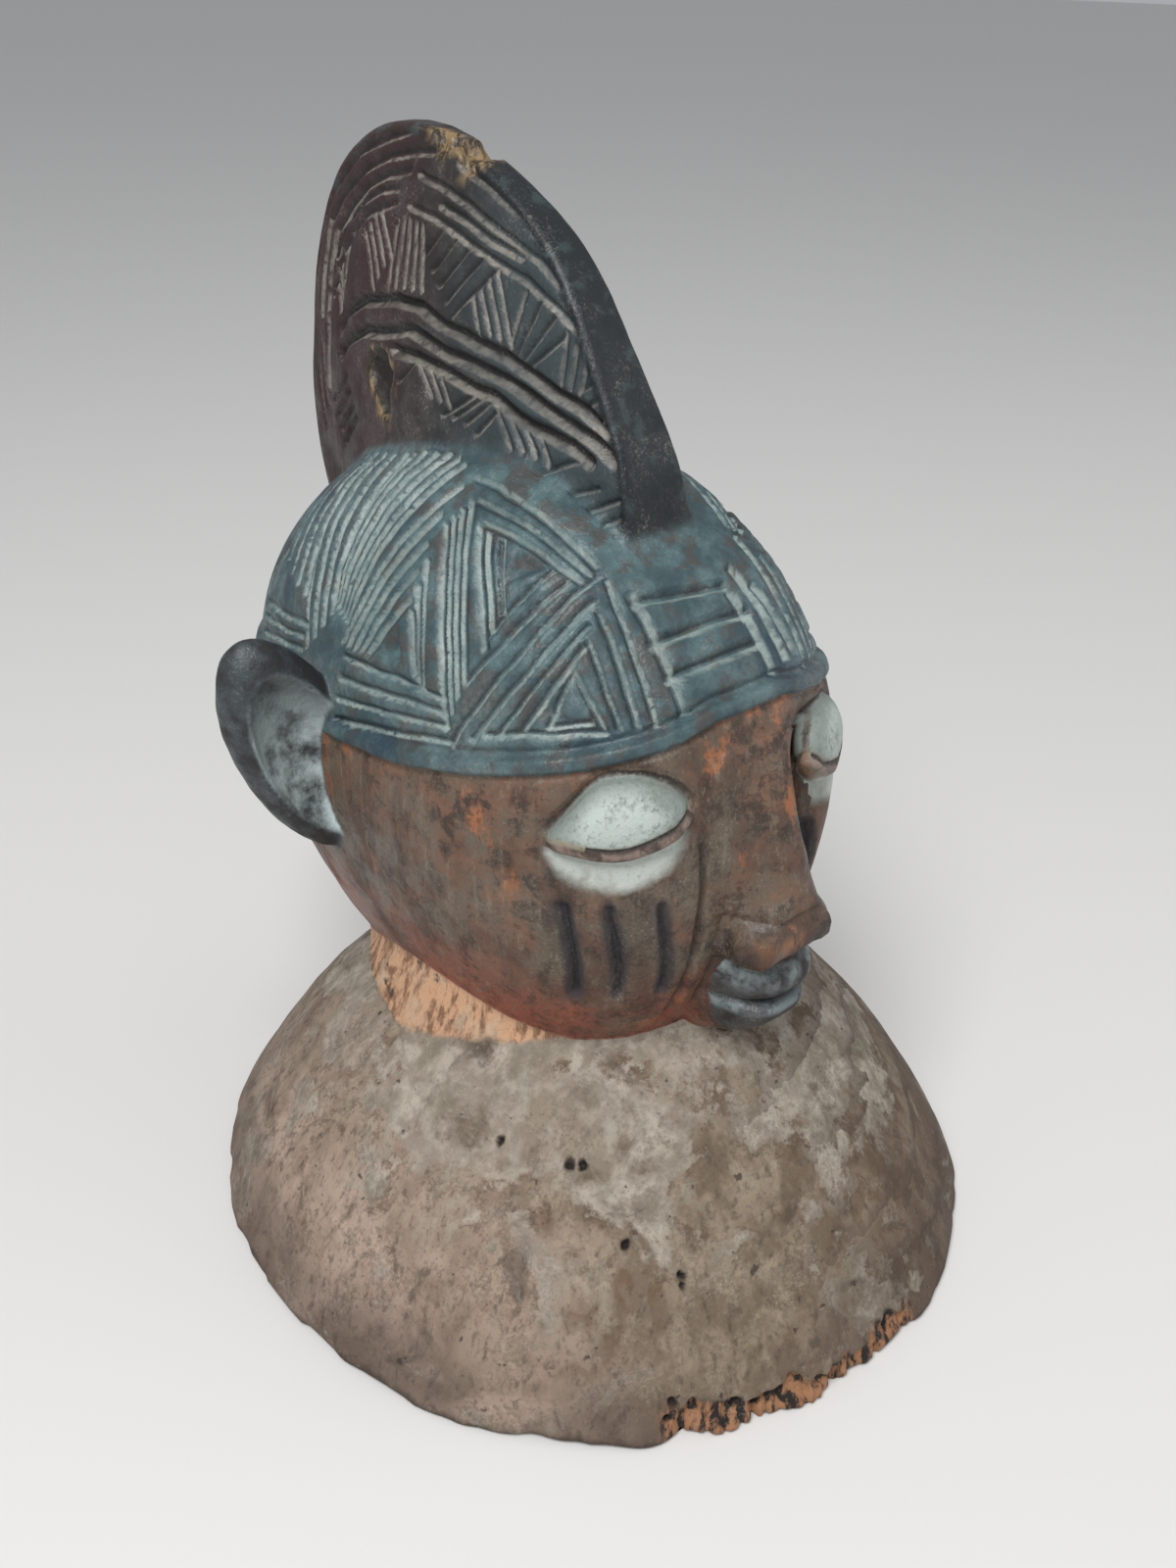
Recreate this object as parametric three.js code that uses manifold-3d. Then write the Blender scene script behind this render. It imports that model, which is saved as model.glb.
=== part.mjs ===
// A carved wooden mask: a head with a tall crest, rising from a hollow domed skirt, all one piece of wood.
// Millimetres, +Z up. The face looks towards -Y. The origin is the middle of the footprint, on the floor.

import * as THREE from 'three';
import { mergeVertices } from 'three/addons/utils/BufferGeometryUtils.js';
import Module from 'manifold-3d';

const wasm = await Module();
wasm.setup();

// Skirt: a dome that rests on its rim and is hollow underneath
const rimWidth = 260;
const rimDepth = 277;
const domeRise = 107.8;
const domeShoulder = 1.16;
const domeFullness = 1.95;
const skirtWall = 13;
const rimRound = 2.5;

// Neck: a torn band between the skirt and the head, and the well that is hollowed up into it
const neckWidth = 137;
const neckTopWidth = 120;
const neckRise = 20;
const neckLevel = 92;
const neckBack = 11;
const neckTilt = 8;
const wellWidth = 92;
const wellTop = 132;

// Head: widest at its own level, longer behind than in front
const headWidth = 144.2;
const headFront = 95.5;
const headBack = 122;
const headCrown = 98.9;
const headDrop = 115.6;
const headSquareness = 2.5;
const headLevel = 164.3;
const headSetBack = 23.1;
const browFlat = 5;

// Crest: a thick upright fin along the middle of the head, nearly round, with a peak behind its top
const crestRadius = 86;
const crestPeak = 18;
const crestPeakAngle = 62;
const crestCore = 50;
const crestFootWidth = 25;
const crestTopWidth = 8;
const crestRise = 80.7;
const crestSetBack = 38.9;

// Carving: the cap's cuts, the hem, the eyes, the cheek marks and the ears
const cutWidth = 3.2;
const cutDepth = 1.6;
const hemWidth = 5;
const hemProud = 1.6;
const eyeLength = 43;
const eyeHeight = 25;
const eyeProud = 5.5;
const eyeTurn = 28.5;
const farEyeTurn = 25;
const farEyeProud = 3;
const eyeRoll = 6;
const faceShift = 5.5;
const noseWingSpread = 23;
const noseWingSize = 15;
const markWidth = 6;
const markDepth = 2.5;
const earHeight = 82;
const earReach = 39;
const earThickness = 24;
const earSetBack = 30;
const earLean = 23;
const earTurn = 14;

// Losses: the eaten front of the rim and the broken top of the crest
const biteLength = 30;
const biteDeep = 10;
const biteHigh = 15;

const degrees = Math.PI / 180;
const along = (a, b, share) => a + (b - a) * share;

// A closed geometry as a solid, with its seams joined and its faces turned outwards
function solid(geometry) {
  const bare = geometry.clone();
  bare.deleteAttribute('normal');
  bare.deleteAttribute('uv');
  const joined = mergeVertices(bare, 1e-4);
  const places = joined.attributes.position;
  const corners = joined.index.array;
  const kept = [];
  let volume = 0;
  const a = new THREE.Vector3();
  const b = new THREE.Vector3();
  const c = new THREE.Vector3();
  for (let i = 0; i < corners.length; i += 3) {
    const [p, q, r] = [corners[i], corners[i + 1], corners[i + 2]];
    if (p === q || q === r || r === p) continue;
    kept.push(p, q, r);
    a.fromBufferAttribute(places, p);
    b.fromBufferAttribute(places, q);
    c.fromBufferAttribute(places, r);
    volume += a.dot(b.cross(c));
  }
  if (volume < 0) kept.reverse();
  return new wasm.Manifold(new wasm.Mesh({
    numProp: 3,
    vertProperties: Float32Array.from(places.array),
    triVerts: Uint32Array.from(kept),
  }));
}

// Moves every vertex of a geometry to the place that a function gives for it
function reshape(geometry, placeOf) {
  const places = geometry.attributes.position;
  const from = new THREE.Vector3();
  for (let i = 0; i < places.count; i += 1) {
    from.fromBufferAttribute(places, i);
    const to = placeOf(from);
    places.setXYZ(i, to.x, to.y, to.z);
  }
  return geometry;
}

// Reads a smooth value from a short list of [height, value] pairs
function profile(pairs) {
  const curve = new THREE.SplineCurve(pairs.map(([height, value]) => new THREE.Vector2(height, value)));
  const samples = curve.getPoints(pairs.length * 12);
  return (height) => {
    const next = samples.findIndex((sample) => sample.x >= height);
    if (next === -1) return samples[samples.length - 1].y;
    if (next === 0) return samples[0].y;
    const [low, high] = [samples[next - 1], samples[next]];
    return along(low.y, high.y, (height - low.x) / (high.x - low.x));
  };
}

// Skirt

const domeRadius = (height) => (rimWidth / 2)
  * Math.max(0, 1 - (height / domeRise) ** domeShoulder) ** (1 / domeFullness);

function turned(points, segments) {
  const outline = points.map(([radius, height]) => new THREE.Vector2(radius, height));
  return new THREE.LatheGeometry(outline, segments).rotateX(Math.PI / 2);
}

function skirt() {
  const points = [[0, 0], [rimWidth / 2 - rimRound, 0]];
  const rows = 10;
  for (let row = 0; row < rows; row += 1) {
    const height = along(rimRound, domeRise, Math.sin((row / rows) * 90 * degrees));
    points.push([domeRadius(height), height]);
  }
  points.push([0, domeRise]);
  return solid(turned(points, 52).scale(1, rimDepth / rimWidth, 1));
}

// The hollow follows the dome at one wall's thickness, and its well goes on up into the neck
function hollow() {
  const below = 5;
  const shrink = (rimWidth / 2 - skirtWall) / (rimWidth / 2);
  const roof = domeRise - skirtWall;
  const points = [[0, -below], [rimWidth / 2 - skirtWall, -below]];
  const rows = 6;
  for (let row = 0; row < rows; row += 1) {
    const share = Math.sin((row / rows) * 90 * degrees);
    points.push([domeRadius(share * domeRise) * shrink, share * roof]);
  }
  points.push([0, roof]);
  const dome = solid(turned(points, 36).scale(1, (rimDepth / 2 - skirtWall) / (rimWidth / 2 - skirtWall), 1));
  const wellHeight = wellTop - neckLevel + neckRise * 2;
  const well = new THREE.SphereGeometry(1, 24, 12).rotateX(Math.PI / 2);
  well.scale(wellWidth / 2, wellWidth / 2, wellHeight).translate(0, neckBack, wellTop - wellHeight);
  return dome.add(solid(well));
}

function neck() {
  const band = new THREE.CylinderGeometry(neckTopWidth / 2, neckWidth / 2, neckRise, 40);
  band.rotateX(Math.PI / 2).rotateX(-neckTilt * degrees).translate(0, neckBack, neckLevel);
  return solid(band);
}

// Head

// The head's surface by its turn from the face in degrees and its rise from the widest level, -1 to 1
function onHead(turn, rise) {
  const side = Math.sin(turn * degrees);
  const ahead = Math.cos(turn * degrees);
  const length = ahead > 0 ? headFront : headBack;
  const reach = Math.sqrt(1 - rise ** 2)
    / ((Math.abs(side) / (headWidth / 2)) ** headSquareness
    + (Math.abs(ahead) / length) ** headSquareness) ** (1 / headSquareness);
  const flat = browFlat * Math.exp(-((turn / 24) ** 2) - ((rise - 0.84) / 0.2) ** 2);
  const height = rise * (rise > 0 ? headCrown : headDrop) - flat;
  return new THREE.Vector3(reach * side, headSetBack - reach * ahead, headLevel + height);
}

function normalOnHead(turn, rise) {
  const step = 0.5;
  const small = 0.01;
  const across = onHead(turn + step, rise).sub(onHead(turn - step, rise));
  const up = onHead(turn, Math.min(0.999, rise + small)).sub(onHead(turn, rise - small));
  return across.cross(up).normalize();
}

function head() {
  const crowd = 0.35;
  const ball = new THREE.SphereGeometry(1, 40, 24).rotateX(Math.PI / 2);
  return solid(reshape(ball, (place) => {
    const turn = Math.atan2(place.x, -place.y);
    return onHead((turn - crowd * Math.sin(turn)) / degrees, THREE.MathUtils.clamp(place.z, -1, 1));
  }));
}

// An oval boss on the head: across, up and out are its half sizes
function boss(turn, rise, across, up, out, roll, lift) {
  const centre = onHead(turn, rise);
  const normal = normalOnHead(turn, rise);
  const level = new THREE.Vector3(0, 0, 1).cross(normal).normalize();
  const upward = normal.clone().cross(level);
  const ball = new THREE.SphereGeometry(1, 16, 8).scale(across, up, out).rotateZ(roll * degrees);
  ball.applyMatrix4(new THREE.Matrix4().makeBasis(level, upward, normal));
  const seat = centre.addScaledVector(normal, lift);
  return ball.translate(seat.x, seat.y, seat.z);
}

// Nose, lips and chin stand forward of the head as one column, narrow at the brow and off the middle
const columnFront = profile([
  [84, 50], [92, 58], [97, 67], [103, 77], [108, 80.5], [113, 82.5], [116.5, 77], [119, 83], [124, 84], [128.5, 80],
  [134, 86], [140, 88], [146, 86], [157, 82.5], [167, 79], [181, 74], [190, 70], [198, 64],
]);
const columnWidth = profile([
  [84, 10], [92, 14], [98, 17], [106, 18.5], [114, 19.5], [122, 20], [130, 20], [135, 22], [141, 24], [150, 25],
  [160, 26], [172, 27], [185, 23], [198, 17],
]);

function faceColumn() {
  const rows = 22;
  const middle = 46;
  const base = 84;
  const top = 198;
  const post = new THREE.CylinderGeometry(1, 1, 1, 14, rows).rotateX(Math.PI / 2);
  return solid(reshape(post, (place) => {
    const height = along(base, top, place.z + 0.5);
    const half = columnWidth(height);
    const reach = columnFront(height) - middle;
    return new THREE.Vector3(faceShift + place.x * half, -middle + place.y * reach, height);
  }));
}

// The wings of the nose swell to each side of its blunt tip
function noseWing(side) {
  const wingLevel = 138;
  const wingSetForward = 77;
  const ball = new THREE.SphereGeometry(noseWingSize / 2, 12, 8);
  return solid(ball.translate(faceShift + (side * noseWingSpread) / 2, -wingSetForward, wingLevel));
}

function eyes(side) {
  const sunk = 4;
  const level = 0.195;
  const [turn, proud] = side < 0 ? [eyeTurn, eyeProud] : [farEyeTurn, farEyeProud];
  return solid(boss(side * turn, level, eyeLength / 2, eyeHeight / 2, proud + sunk, -side * eyeRoll, -sunk));
}

// An ear is a thick leaf with a cup scooped out of its front
function ear(side) {
  const root = headWidth / 2 + earReach / 7;
  const raised = 7;
  const cupShare = 0.78;
  const cupForward = 0.42;
  const leaf = (grow, forward) => {
    const ball = new THREE.SphereGeometry(1, 14, 9);
    ball.scale((earReach / 2) * grow, (earThickness / 2) * grow, (earHeight / 2) * grow);
    ball.rotateY(side * earLean * degrees).rotateZ(side * earTurn * degrees);
    return solid(ball.translate(side * root, headSetBack + earSetBack - forward, headLevel + raised));
  };
  return leaf(1, 0).subtract(leaf(cupShare, earThickness * cupForward));
}

// Crest

// The fin's outline: its reach from the fin's own centre at an angle, level rear 0, straight up 90
function crestReach(angle) {
  const peak = crestPeak * Math.exp(-(((angle - crestPeakAngle) / 33) ** 2));
  const hollowFront = 6 * Math.exp(-(((angle - 145) / 20) ** 2));
  const footStretch = Math.cos(THREE.MathUtils.clamp(angle - 180, 0, 25) * degrees);
  return (crestRadius + peak - hollowFront) / footStretch;
}

function crestEdge(angle) {
  const foot = THREE.MathUtils.clamp((angle - crestPeakAngle) / (180 - crestPeakAngle), 0, 1);
  const rear = THREE.MathUtils.clamp((crestPeakAngle - angle) / 90, 0, 1);
  return along(crestTopWidth / 2, crestFootWidth / 2, foot ** 2) + rear * 2;
}

function crestHalf(share, angle) {
  const edge = crestEdge(angle);
  return edge + (crestCore / 2 - edge) * Math.max(0, 1 - share) ** 0.8;
}

const crestY = headSetBack + crestSetBack;
const crestZ = headLevel + crestRise;

function angleOf(y, z) {
  const angle = Math.atan2(z, y) / degrees;
  return angle < -90 ? angle + 360 : angle;
}

function crest() {
  const rings = [0.45, 0.75, 1];
  const near = rings.map((ring) => [ring, 1]);
  const far = rings.map((ring) => [ring, -1]).reverse();
  const outline = [[0, 1], ...near, ...far, [0, -1]].map(([radius, height]) => new THREE.Vector2(radius, height));
  const disc = new THREE.LatheGeometry(outline, 44);
  return solid(reshape(disc, (place) => {
    const share = Math.hypot(place.x, place.z);
    const angle = angleOf(place.x, place.z);
    const reach = crestReach(angle) * share;
    return new THREE.Vector3(
      place.y * crestHalf(share, angle),
      crestY + reach * Math.cos(angle * degrees),
      crestZ + reach * Math.sin(angle * degrees),
    );
  }));
}

// A place on the crest's flank by its angle and its share of the way out from the fin's centre
function onCrest(side, angle, share) {
  const at = (a, s) => new THREE.Vector3(
    side * crestHalf(s, a),
    crestY + crestReach(a) * s * Math.cos(a * degrees),
    crestZ + crestReach(a) * s * Math.sin(a * degrees),
  );
  const outward = at(angle, share + 0.02).sub(at(angle, share - 0.02));
  const around = at(angle + 2, share).sub(at(angle - 2, share));
  const normal = outward.cross(around).normalize();
  if (normal.x * side < 0) normal.negate();
  return { place: at(angle, share), normal };
}

// Cuts and ribs are a four-cornered section swept along places on a surface

function sweep(path, section) {
  const rows = path.length - 1;
  const bar = new THREE.CylinderGeometry(1, 1, 1, 4, rows);
  const middle = section.reduce((sum, [across, out]) => [sum[0] + across / 4, sum[1] + out / 4], [0, 0]);
  return solid(reshape(bar, (place) => {
    const row = Math.round((0.5 - place.y) * rows);
    const corner = Math.round(Math.atan2(place.x, place.z) / (Math.PI / 2) + 4) % 4;
    const [across, out] = Math.hypot(place.x, place.z) < 0.5 ? middle : section[corner];
    const before = path[Math.max(0, row - 1)].place;
    const after = path[Math.min(rows, row + 1)].place;
    const { normal } = path[row];
    const sideways = after.clone().sub(before).cross(normal).normalize();
    return path[row].place.clone().addScaledVector(sideways, across).addScaledVector(normal, out);
  }));
}

const lift = 2;
const cutSection = (width, depth) => {
  const top = (width / 2) * (1 + lift / depth);
  return [[-top, lift], [top, lift], [width * 0.08, -depth], [-width * 0.08, -depth]];
};

// The straight cut of a blade between two places on the head
function headPath(from, to) {
  const centre = new THREE.Vector3(0, headSetBack, headLevel);
  const start = onHead(...from).sub(centre);
  const end = onHead(...to).sub(centre);
  const longest = 24;
  const steps = Math.max(1, Math.round(start.distanceTo(end) / longest));
  const path = [];
  for (let step = 0; step <= steps; step += 1) {
    const aim = start.clone().lerp(end, step / steps);
    const turn = Math.atan2(aim.x, -aim.y) / degrees;
    const level = onHead(turn, 0).sub(centre);
    const height = aim.z > 0 ? headCrown : headDrop;
    const slope = (Math.hypot(aim.x, aim.y) / Math.hypot(level.x, level.y)) / (Math.abs(aim.z) / height);
    const rise = Math.sign(aim.z) / Math.sqrt(1 + slope ** 2);
    path.push({ place: onHead(turn, rise), normal: normalOnHead(turn, rise) });
  }
  return path;
}

// Parallel cuts, fanned evenly from a first line to a last line
function headBundle([firstFrom, firstTo], [lastFrom, lastTo], count, side) {
  const cuts = [];
  for (let i = 0; i < count; i += 1) {
    const share = count > 1 ? i / (count - 1) : 0;
    const from = [side * along(firstFrom[0], lastFrom[0], share), along(firstFrom[1], lastFrom[1], share)];
    const to = [side * along(firstTo[0], lastTo[0], share), along(firstTo[1], lastTo[1], share)];
    cuts.push(sweep(headPath(from, to), cutSection(cutWidth, cutDepth)));
  }
  return cuts;
}

// The hem of the cap, highest over the brow and low behind the ears
const hemRise = (turn) => 0.12 + 0.33 * Math.exp(-((Math.abs(turn) / 58) ** 1.5));

function hemPath(raise) {
  const path = [];
  const steps = 30;
  const back = 179;
  for (let step = 0; step <= steps; step += 1) {
    const turn = along(-back, back, step / steps);
    const rise = hemRise(turn) + raise;
    path.push({ place: onHead(turn, rise), normal: normalOnHead(turn, rise) });
  }
  return path;
}

function hem() {
  const half = hemWidth / 2;
  return sweep(hemPath(half / headCrown), [[-half, -3], [half, -3], [half * 0.6, hemProud], [-half * 0.6, hemProud]]);
}

function capCuts(side) {
  return [
    ...headBundle([[28, 0.8], [61, 0.36]], [[36, 0.58], [41, 0.46]], 3, side),
    ...headBundle([[26, 0.79], [21, 0.48]], [[35, 0.57], [31, 0.46]], 2, side),
    ...headBundle([[88, 0.9], [64, 0.36]], [[80, 0.88], [61, 0.5]], 2, side),
    ...headBundle([[85, 0.91], [33, 0.86]], [[70, 0.85], [37, 0.81]], 2, side),
    ...headBundle([[96, 0.89], [108, 0.43]], [[87, 0.66], [99, 0.44]], 2, side),
    ...headBundle([[105, 0.38], [67, 0.43]], [[105, 0.24], [65, 0.34]], 2, side),
    ...headBundle([[148, 0.83], [124, 0.34]], [[137, 0.88], [116, 0.48]], 2, side),
    ...headBundle([[17, 0.65], [-1, 0.655]], [[16, 0.56], [-1, 0.565]], 2, side),
    ...headBundle([[19, 0.73], [15, 0.49]], [[19, 0.73], [15, 0.49]], 1, side),
  ];
}

// Arched cuts that follow the crest's outline, and the two rows of slanting cuts between them
function crestCuts(side) {
  const cuts = [];
  const section = cutSection(cutWidth, cutDepth);
  for (const share of [0.88, 0.5, 0.38]) {
    const path = [];
    for (let angle = 10; angle <= 165; angle += 15) path.push(onCrest(side, angle, share));
    cuts.push(sweep(path, section));
  }
  const slanting = 7;
  for (let i = 0; i < slanting; i += 1) {
    const angle = along(24, 150, i / (slanting - 1));
    const lean = i % 2 ? 6 : -6;
    cuts.push(sweep([onCrest(side, angle - lean, 0.54), onCrest(side, angle + lean, 0.82)], section));
  }
  return cuts;
}

function cheekMarks(side) {
  return [38, 30, 21].map((turn) => sweep(
    headPath([side * turn, -0.08], [side * (turn - 3), -0.38]),
    cutSection(markWidth, markDepth),
  ));
}

// The groove where each cheek ends beside the nose and the mouth
function cheekEdge(side) {
  const middle = Math.asin(faceShift / headFront) / degrees;
  const from = headPath([middle + side * 16, 0.05], [middle + side * 15.7, -0.2]);
  const on = headPath([middle + side * 15.7, -0.2], [middle + side * 16.5, -0.5]).slice(1);
  return sweep([...from, ...on], cutSection(5, 3));
}

// Damage: the broken top of the crest, a hole in its flank and the eaten rim
function oval(x, y, z, across, deep, high) {
  return solid(new THREE.SphereGeometry(1, 10, 6).scale(across, deep, high).translate(x, y, z));
}

function damage() {
  const top = crestZ + crestRadius;
  const pieces = [
    oval(0, crestY - 5, top + 12, 14, 8, 12),
    oval(-5, crestY + 6, top + 15, 8, 9, 12),
    oval(-20, crestY + 24, crestZ + 24, 7, 4, 9),
  ];
  for (let turn = -32; turn <= 6; turn += 9.5) {
    const x = Math.sin(turn * degrees) * (rimWidth / 2);
    const y = -Math.cos(turn * degrees) * (rimDepth / 2);
    const high = (biteHigh / 2) * Math.cos((turn + 13) * 2 * degrees);
    pieces.push(oval(x, y, 0, biteLength / 2, biteDeep / 2, high));
  }
  return pieces;
}

function mask() {
  const bothSides = (make) => [make(-1), make(1)].flat();
  const raised = [
    neck(), head(), crest(), faceColumn(), hem(),
    ...bothSides(noseWing), ...bothSides(eyes), ...bothSides(ear),
  ];
  const removed = [
    hollow(), ...bothSides(capCuts), ...bothSides(crestCuts), ...bothSides(cheekMarks), ...bothSides(cheekEdge),
    ...damage(),
  ];
  const join = (pieces) => pieces.reduce((sum, piece) => sum.add(piece));
  const carved = join([skirt(), ...raised]).subtract(join(removed));
  // Splinters thinner than a hair, left where cuts cross, fall away
  const [body] = carved.decompose().sort((one, other) => other.volume() - one.volume());
  const result = body.getMesh();
  const geometry = new THREE.BufferGeometry();
  geometry.setAttribute('position', new THREE.BufferAttribute(Float32Array.from(result.vertProperties), 3));
  geometry.setIndex(new THREE.BufferAttribute(Uint32Array.from(result.triVerts), 1));
  geometry.computeBoundingBox();
  const centre = geometry.boundingBox.getCenter(new THREE.Vector3());
  geometry.translate(-centre.x, -centre.y, -geometry.boundingBox.min.z);
  geometry.computeVertexNormals();
  return geometry;
}

const wood = new THREE.MeshStandardMaterial({ color: 0x5d5148, roughness: 0.8, metalness: 0 });
const part = new THREE.Group();
const piece = new THREE.Mesh(mask(), wood);
piece.name = 'mask';
part.add(piece);

export default part;
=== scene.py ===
# %% [markdown]
# # A carved helmet mask
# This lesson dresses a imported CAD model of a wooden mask: a head with a tall crest that rises
# from a hollow, domed skirt, all cut from one block. The CAD solid gives the size and the main
# forms. Here the same piece gets its fine carving, its worn paint and its broken edges.

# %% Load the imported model
import math

import bpy
import numpy as np
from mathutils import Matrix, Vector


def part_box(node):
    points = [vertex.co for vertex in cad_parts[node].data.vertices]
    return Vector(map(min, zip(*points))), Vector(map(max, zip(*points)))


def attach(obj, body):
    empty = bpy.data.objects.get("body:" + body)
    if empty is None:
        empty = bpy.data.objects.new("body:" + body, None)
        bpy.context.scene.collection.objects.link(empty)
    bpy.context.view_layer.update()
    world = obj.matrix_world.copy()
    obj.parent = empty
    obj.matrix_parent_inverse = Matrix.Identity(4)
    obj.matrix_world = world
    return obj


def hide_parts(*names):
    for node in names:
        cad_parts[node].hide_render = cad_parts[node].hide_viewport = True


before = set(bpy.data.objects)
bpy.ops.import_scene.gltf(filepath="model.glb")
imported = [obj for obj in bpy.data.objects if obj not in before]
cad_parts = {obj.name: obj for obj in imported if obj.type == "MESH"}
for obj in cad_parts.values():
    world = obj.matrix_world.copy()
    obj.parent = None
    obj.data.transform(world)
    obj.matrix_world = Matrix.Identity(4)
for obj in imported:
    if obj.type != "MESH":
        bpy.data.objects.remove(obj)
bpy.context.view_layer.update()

import openvdb
from mathutils import Matrix, Vector

low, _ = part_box("mask")

# %% [markdown]
# ## Measures
# Everything below is in millimetres, measured from the middle of the skirt's rim on the floor.
# The face looks towards -Y. The CAD origin is the middle of the footprint, and the nose and the
# back of the crest don't reach equally far past the rim, so one shift in Y joins the two.

# %% Shared measures
MM = 0.001
RIM_WIDTH, RIM_DEPTH, DOME_RISE, WALL = 260.0, 277.0, 107.8, 13.0
shift = low.y / MM + RIM_DEPTH / 2 - 0.9
HEAD = np.array([0.0, 23.1, 164.3])
HEAD_HALF, HEAD_FRONT, HEAD_BACK, HEAD_UP, HEAD_DOWN = 72.1, 95.5, 122.0, 98.9, 115.6
CREST_Y, CREST_Z = 62.0, 245.0
RIM_OVAL = 1.065
FAR = 99.0  # too far to matter
MOST_TRIANGLES = 192000
print("rim centre sits at y =", round(shift, 2), "mm")


# %% [markdown]
# ## Small helpers
# Carved wood is never quite even. `lumps` is smooth seeded noise: it gives each point of space a
# value between -1 and 1 that changes over a chosen size, so a dent or a wandering blade can be
# asked for anywhere, and comes out the same on each run.

# %% Noise, curves and soft joins
def lumps(x, y, z, size, seed=0):
    cell = [np.floor(v / size).astype(np.int64) for v in (x, y, z)]
    part = [v / size - c for v, c in zip((x, y, z), cell)]
    ease = [p * p * (3 - 2 * p) for p in part]
    total = 0.0
    for corner in range(8):
        step = [(corner >> k) & 1 for k in range(3)]
        n = sum((c + s) * big for c, s, big in zip(cell, step, (374761393, 668265263, 1440662683)))
        n = (n + seed * 974711) & 0xffffffff
        n = ((n ^ (n >> 13)) * 1274126177) & 0xffffffff
        value = ((n ^ (n >> 16)) & 0xffff) / 32767.5 - 1
        weight = 1.0
        for e, s in zip(ease, step):
            weight = weight * (e if s else 1 - e)
        total = total + weight * value
    return total


def curve(pairs):
    rows, values = np.array(pairs, float).T
    return lambda height: np.interp(height, rows, values)


def smooth_curve(pairs, soften=1.5):
    rows, values = np.array(pairs, float).T
    fine = np.linspace(rows[0] - 6, rows[-1] + 6, 500)
    flat = np.interp(fine, rows, values)
    reach = np.exp(-0.5 * ((fine[:, None] - fine[None]) / soften) ** 2)
    even = (reach @ flat) / reach.sum(1)
    return lambda height: np.interp(height, fine, even)


def join(a, b, soft):
    h = np.clip(0.5 + 0.5 * (b - a) / soft, 0, 1)
    return b + (a - b) * h - soft * h * (1 - h)


def cut(a, b, soft):
    return -join(-a, b, soft)


def ramp(value, start, end):
    t = np.clip((value - start) / (end - start), 0, 1)
    return t * t * (3 - 2 * t)


def bump(value, middle, half):
    return np.exp(-((value - middle) / half) ** 2)


# %% [markdown]
# ## The block's main forms
# Each form is written as a distance: negative inside the wood, zero on its surface. Forms written
# this way melt together with soft joins, as they do where a carver's blade runs from one into the
# next. A pile of separate meshes would leave hard seams that the real block doesn't have.
#
# The skirt is a dome with a slightly oval rim, hollowed to an even wall. A deeper well runs up
# into the neck, where the wearer's head sits.

# %% Skirt, hollow and neck
def dome_radius(height):
    share = np.clip(height / DOME_RISE, 0, 0.9995)
    return RIM_WIDTH / 2 * (1 - share ** 1.16) ** (1 / 1.95)


def dome(x, y, z, stretch, radius_of):
    radius = np.hypot(x, y / stretch)
    slope = radius_of(z + 0.5) - radius_of(z - 0.5)
    return (radius - radius_of(z)) / np.sqrt(1 + slope ** 2)


def skirt(x, y, z):
    body = dome(x, y, z, RIM_DEPTH / RIM_WIDTH, dome_radius)
    return np.maximum(cut(body, z, 3.5), z - DOME_RISE + 4)


def hollow(x, y, z):
    share = DOME_RISE / (DOME_RISE - WALL)
    inner = (RIM_WIDTH / 2 - WALL) / (RIM_WIDTH / 2)
    stretch = (RIM_DEPTH / 2 - WALL) / (RIM_WIDTH / 2 - WALL)
    bowl = dome(x, y, z, stretch, lambda h: dome_radius(h * share) * inner)
    bowl = np.maximum(bowl, z - DOME_RISE + WALL + 2)
    near = np.sqrt((x / 46) ** 2 + ((y - 11) / 46) ** 2 + ((z - 52) / 80) ** 2)
    return join(bowl, (near - 1) * 46, 6)


def neck(x, y, z):
    lean = math.radians(8)
    up = (z - 92) * math.cos(lean) + (y - 11) * -math.sin(lean)
    ahead = (y - 11) * math.cos(lean) + (z - 92) * math.sin(lean)
    side = np.hypot(x, ahead) - (64.2 - 0.42 * up)
    return np.maximum(side, np.abs(up) - 14)


# %% [markdown]
# The head is an egg with flattened sides, longer behind the ears than in front. A place on it is
# given by its turn from the face in degrees and its rise from the widest level, from -1 to 1.

# %% Head
def head_place(turn, rise):
    turn, rise = np.asarray(turn, float), np.asarray(rise, float)
    side, ahead = np.sin(np.radians(turn)), np.cos(np.radians(turn))
    length = np.where(ahead > 0, HEAD_FRONT, HEAD_BACK)
    reach = np.sqrt(1 - rise ** 2) / (
        (np.abs(side) / HEAD_HALF) ** 2.5 + (np.abs(ahead) / length) ** 2.5) ** 0.4
    flat = 5 * bump(turn, 0, 24) * bump(rise, 0.84, 0.2)
    height = rise * np.where(rise > 0, HEAD_UP, HEAD_DOWN) - flat
    return np.stack([reach * side, HEAD[1] - reach * ahead, HEAD[2] + height], -1)


def head_turn_rise(x, y, z):
    turn = np.degrees(np.arctan2(x, HEAD[1] - y))
    rough = (z - HEAD[2]) / HEAD_UP
    lift = z - HEAD[2] + 5 * bump(turn, 0, 24) * bump(rough, 0.84, 0.2)
    return turn, lift / np.where(lift > 0, HEAD_UP, HEAD_DOWN)


def head(x, y, z):
    turn, rise = head_turn_rise(x, y, z)
    length = np.where(y < HEAD[1], HEAD_FRONT, HEAD_BACK)
    level = ((np.abs(x) / HEAD_HALF) ** 2.5 + (np.abs(y - HEAD[1]) / length) ** 2.5) ** 0.4
    share = np.sqrt(level ** 2 + rise ** 2) + 1e-6
    away = np.sqrt(x ** 2 + (y - HEAD[1]) ** 2 + (z - HEAD[2]) ** 2)
    return away * (1 - 1 / share)


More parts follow.
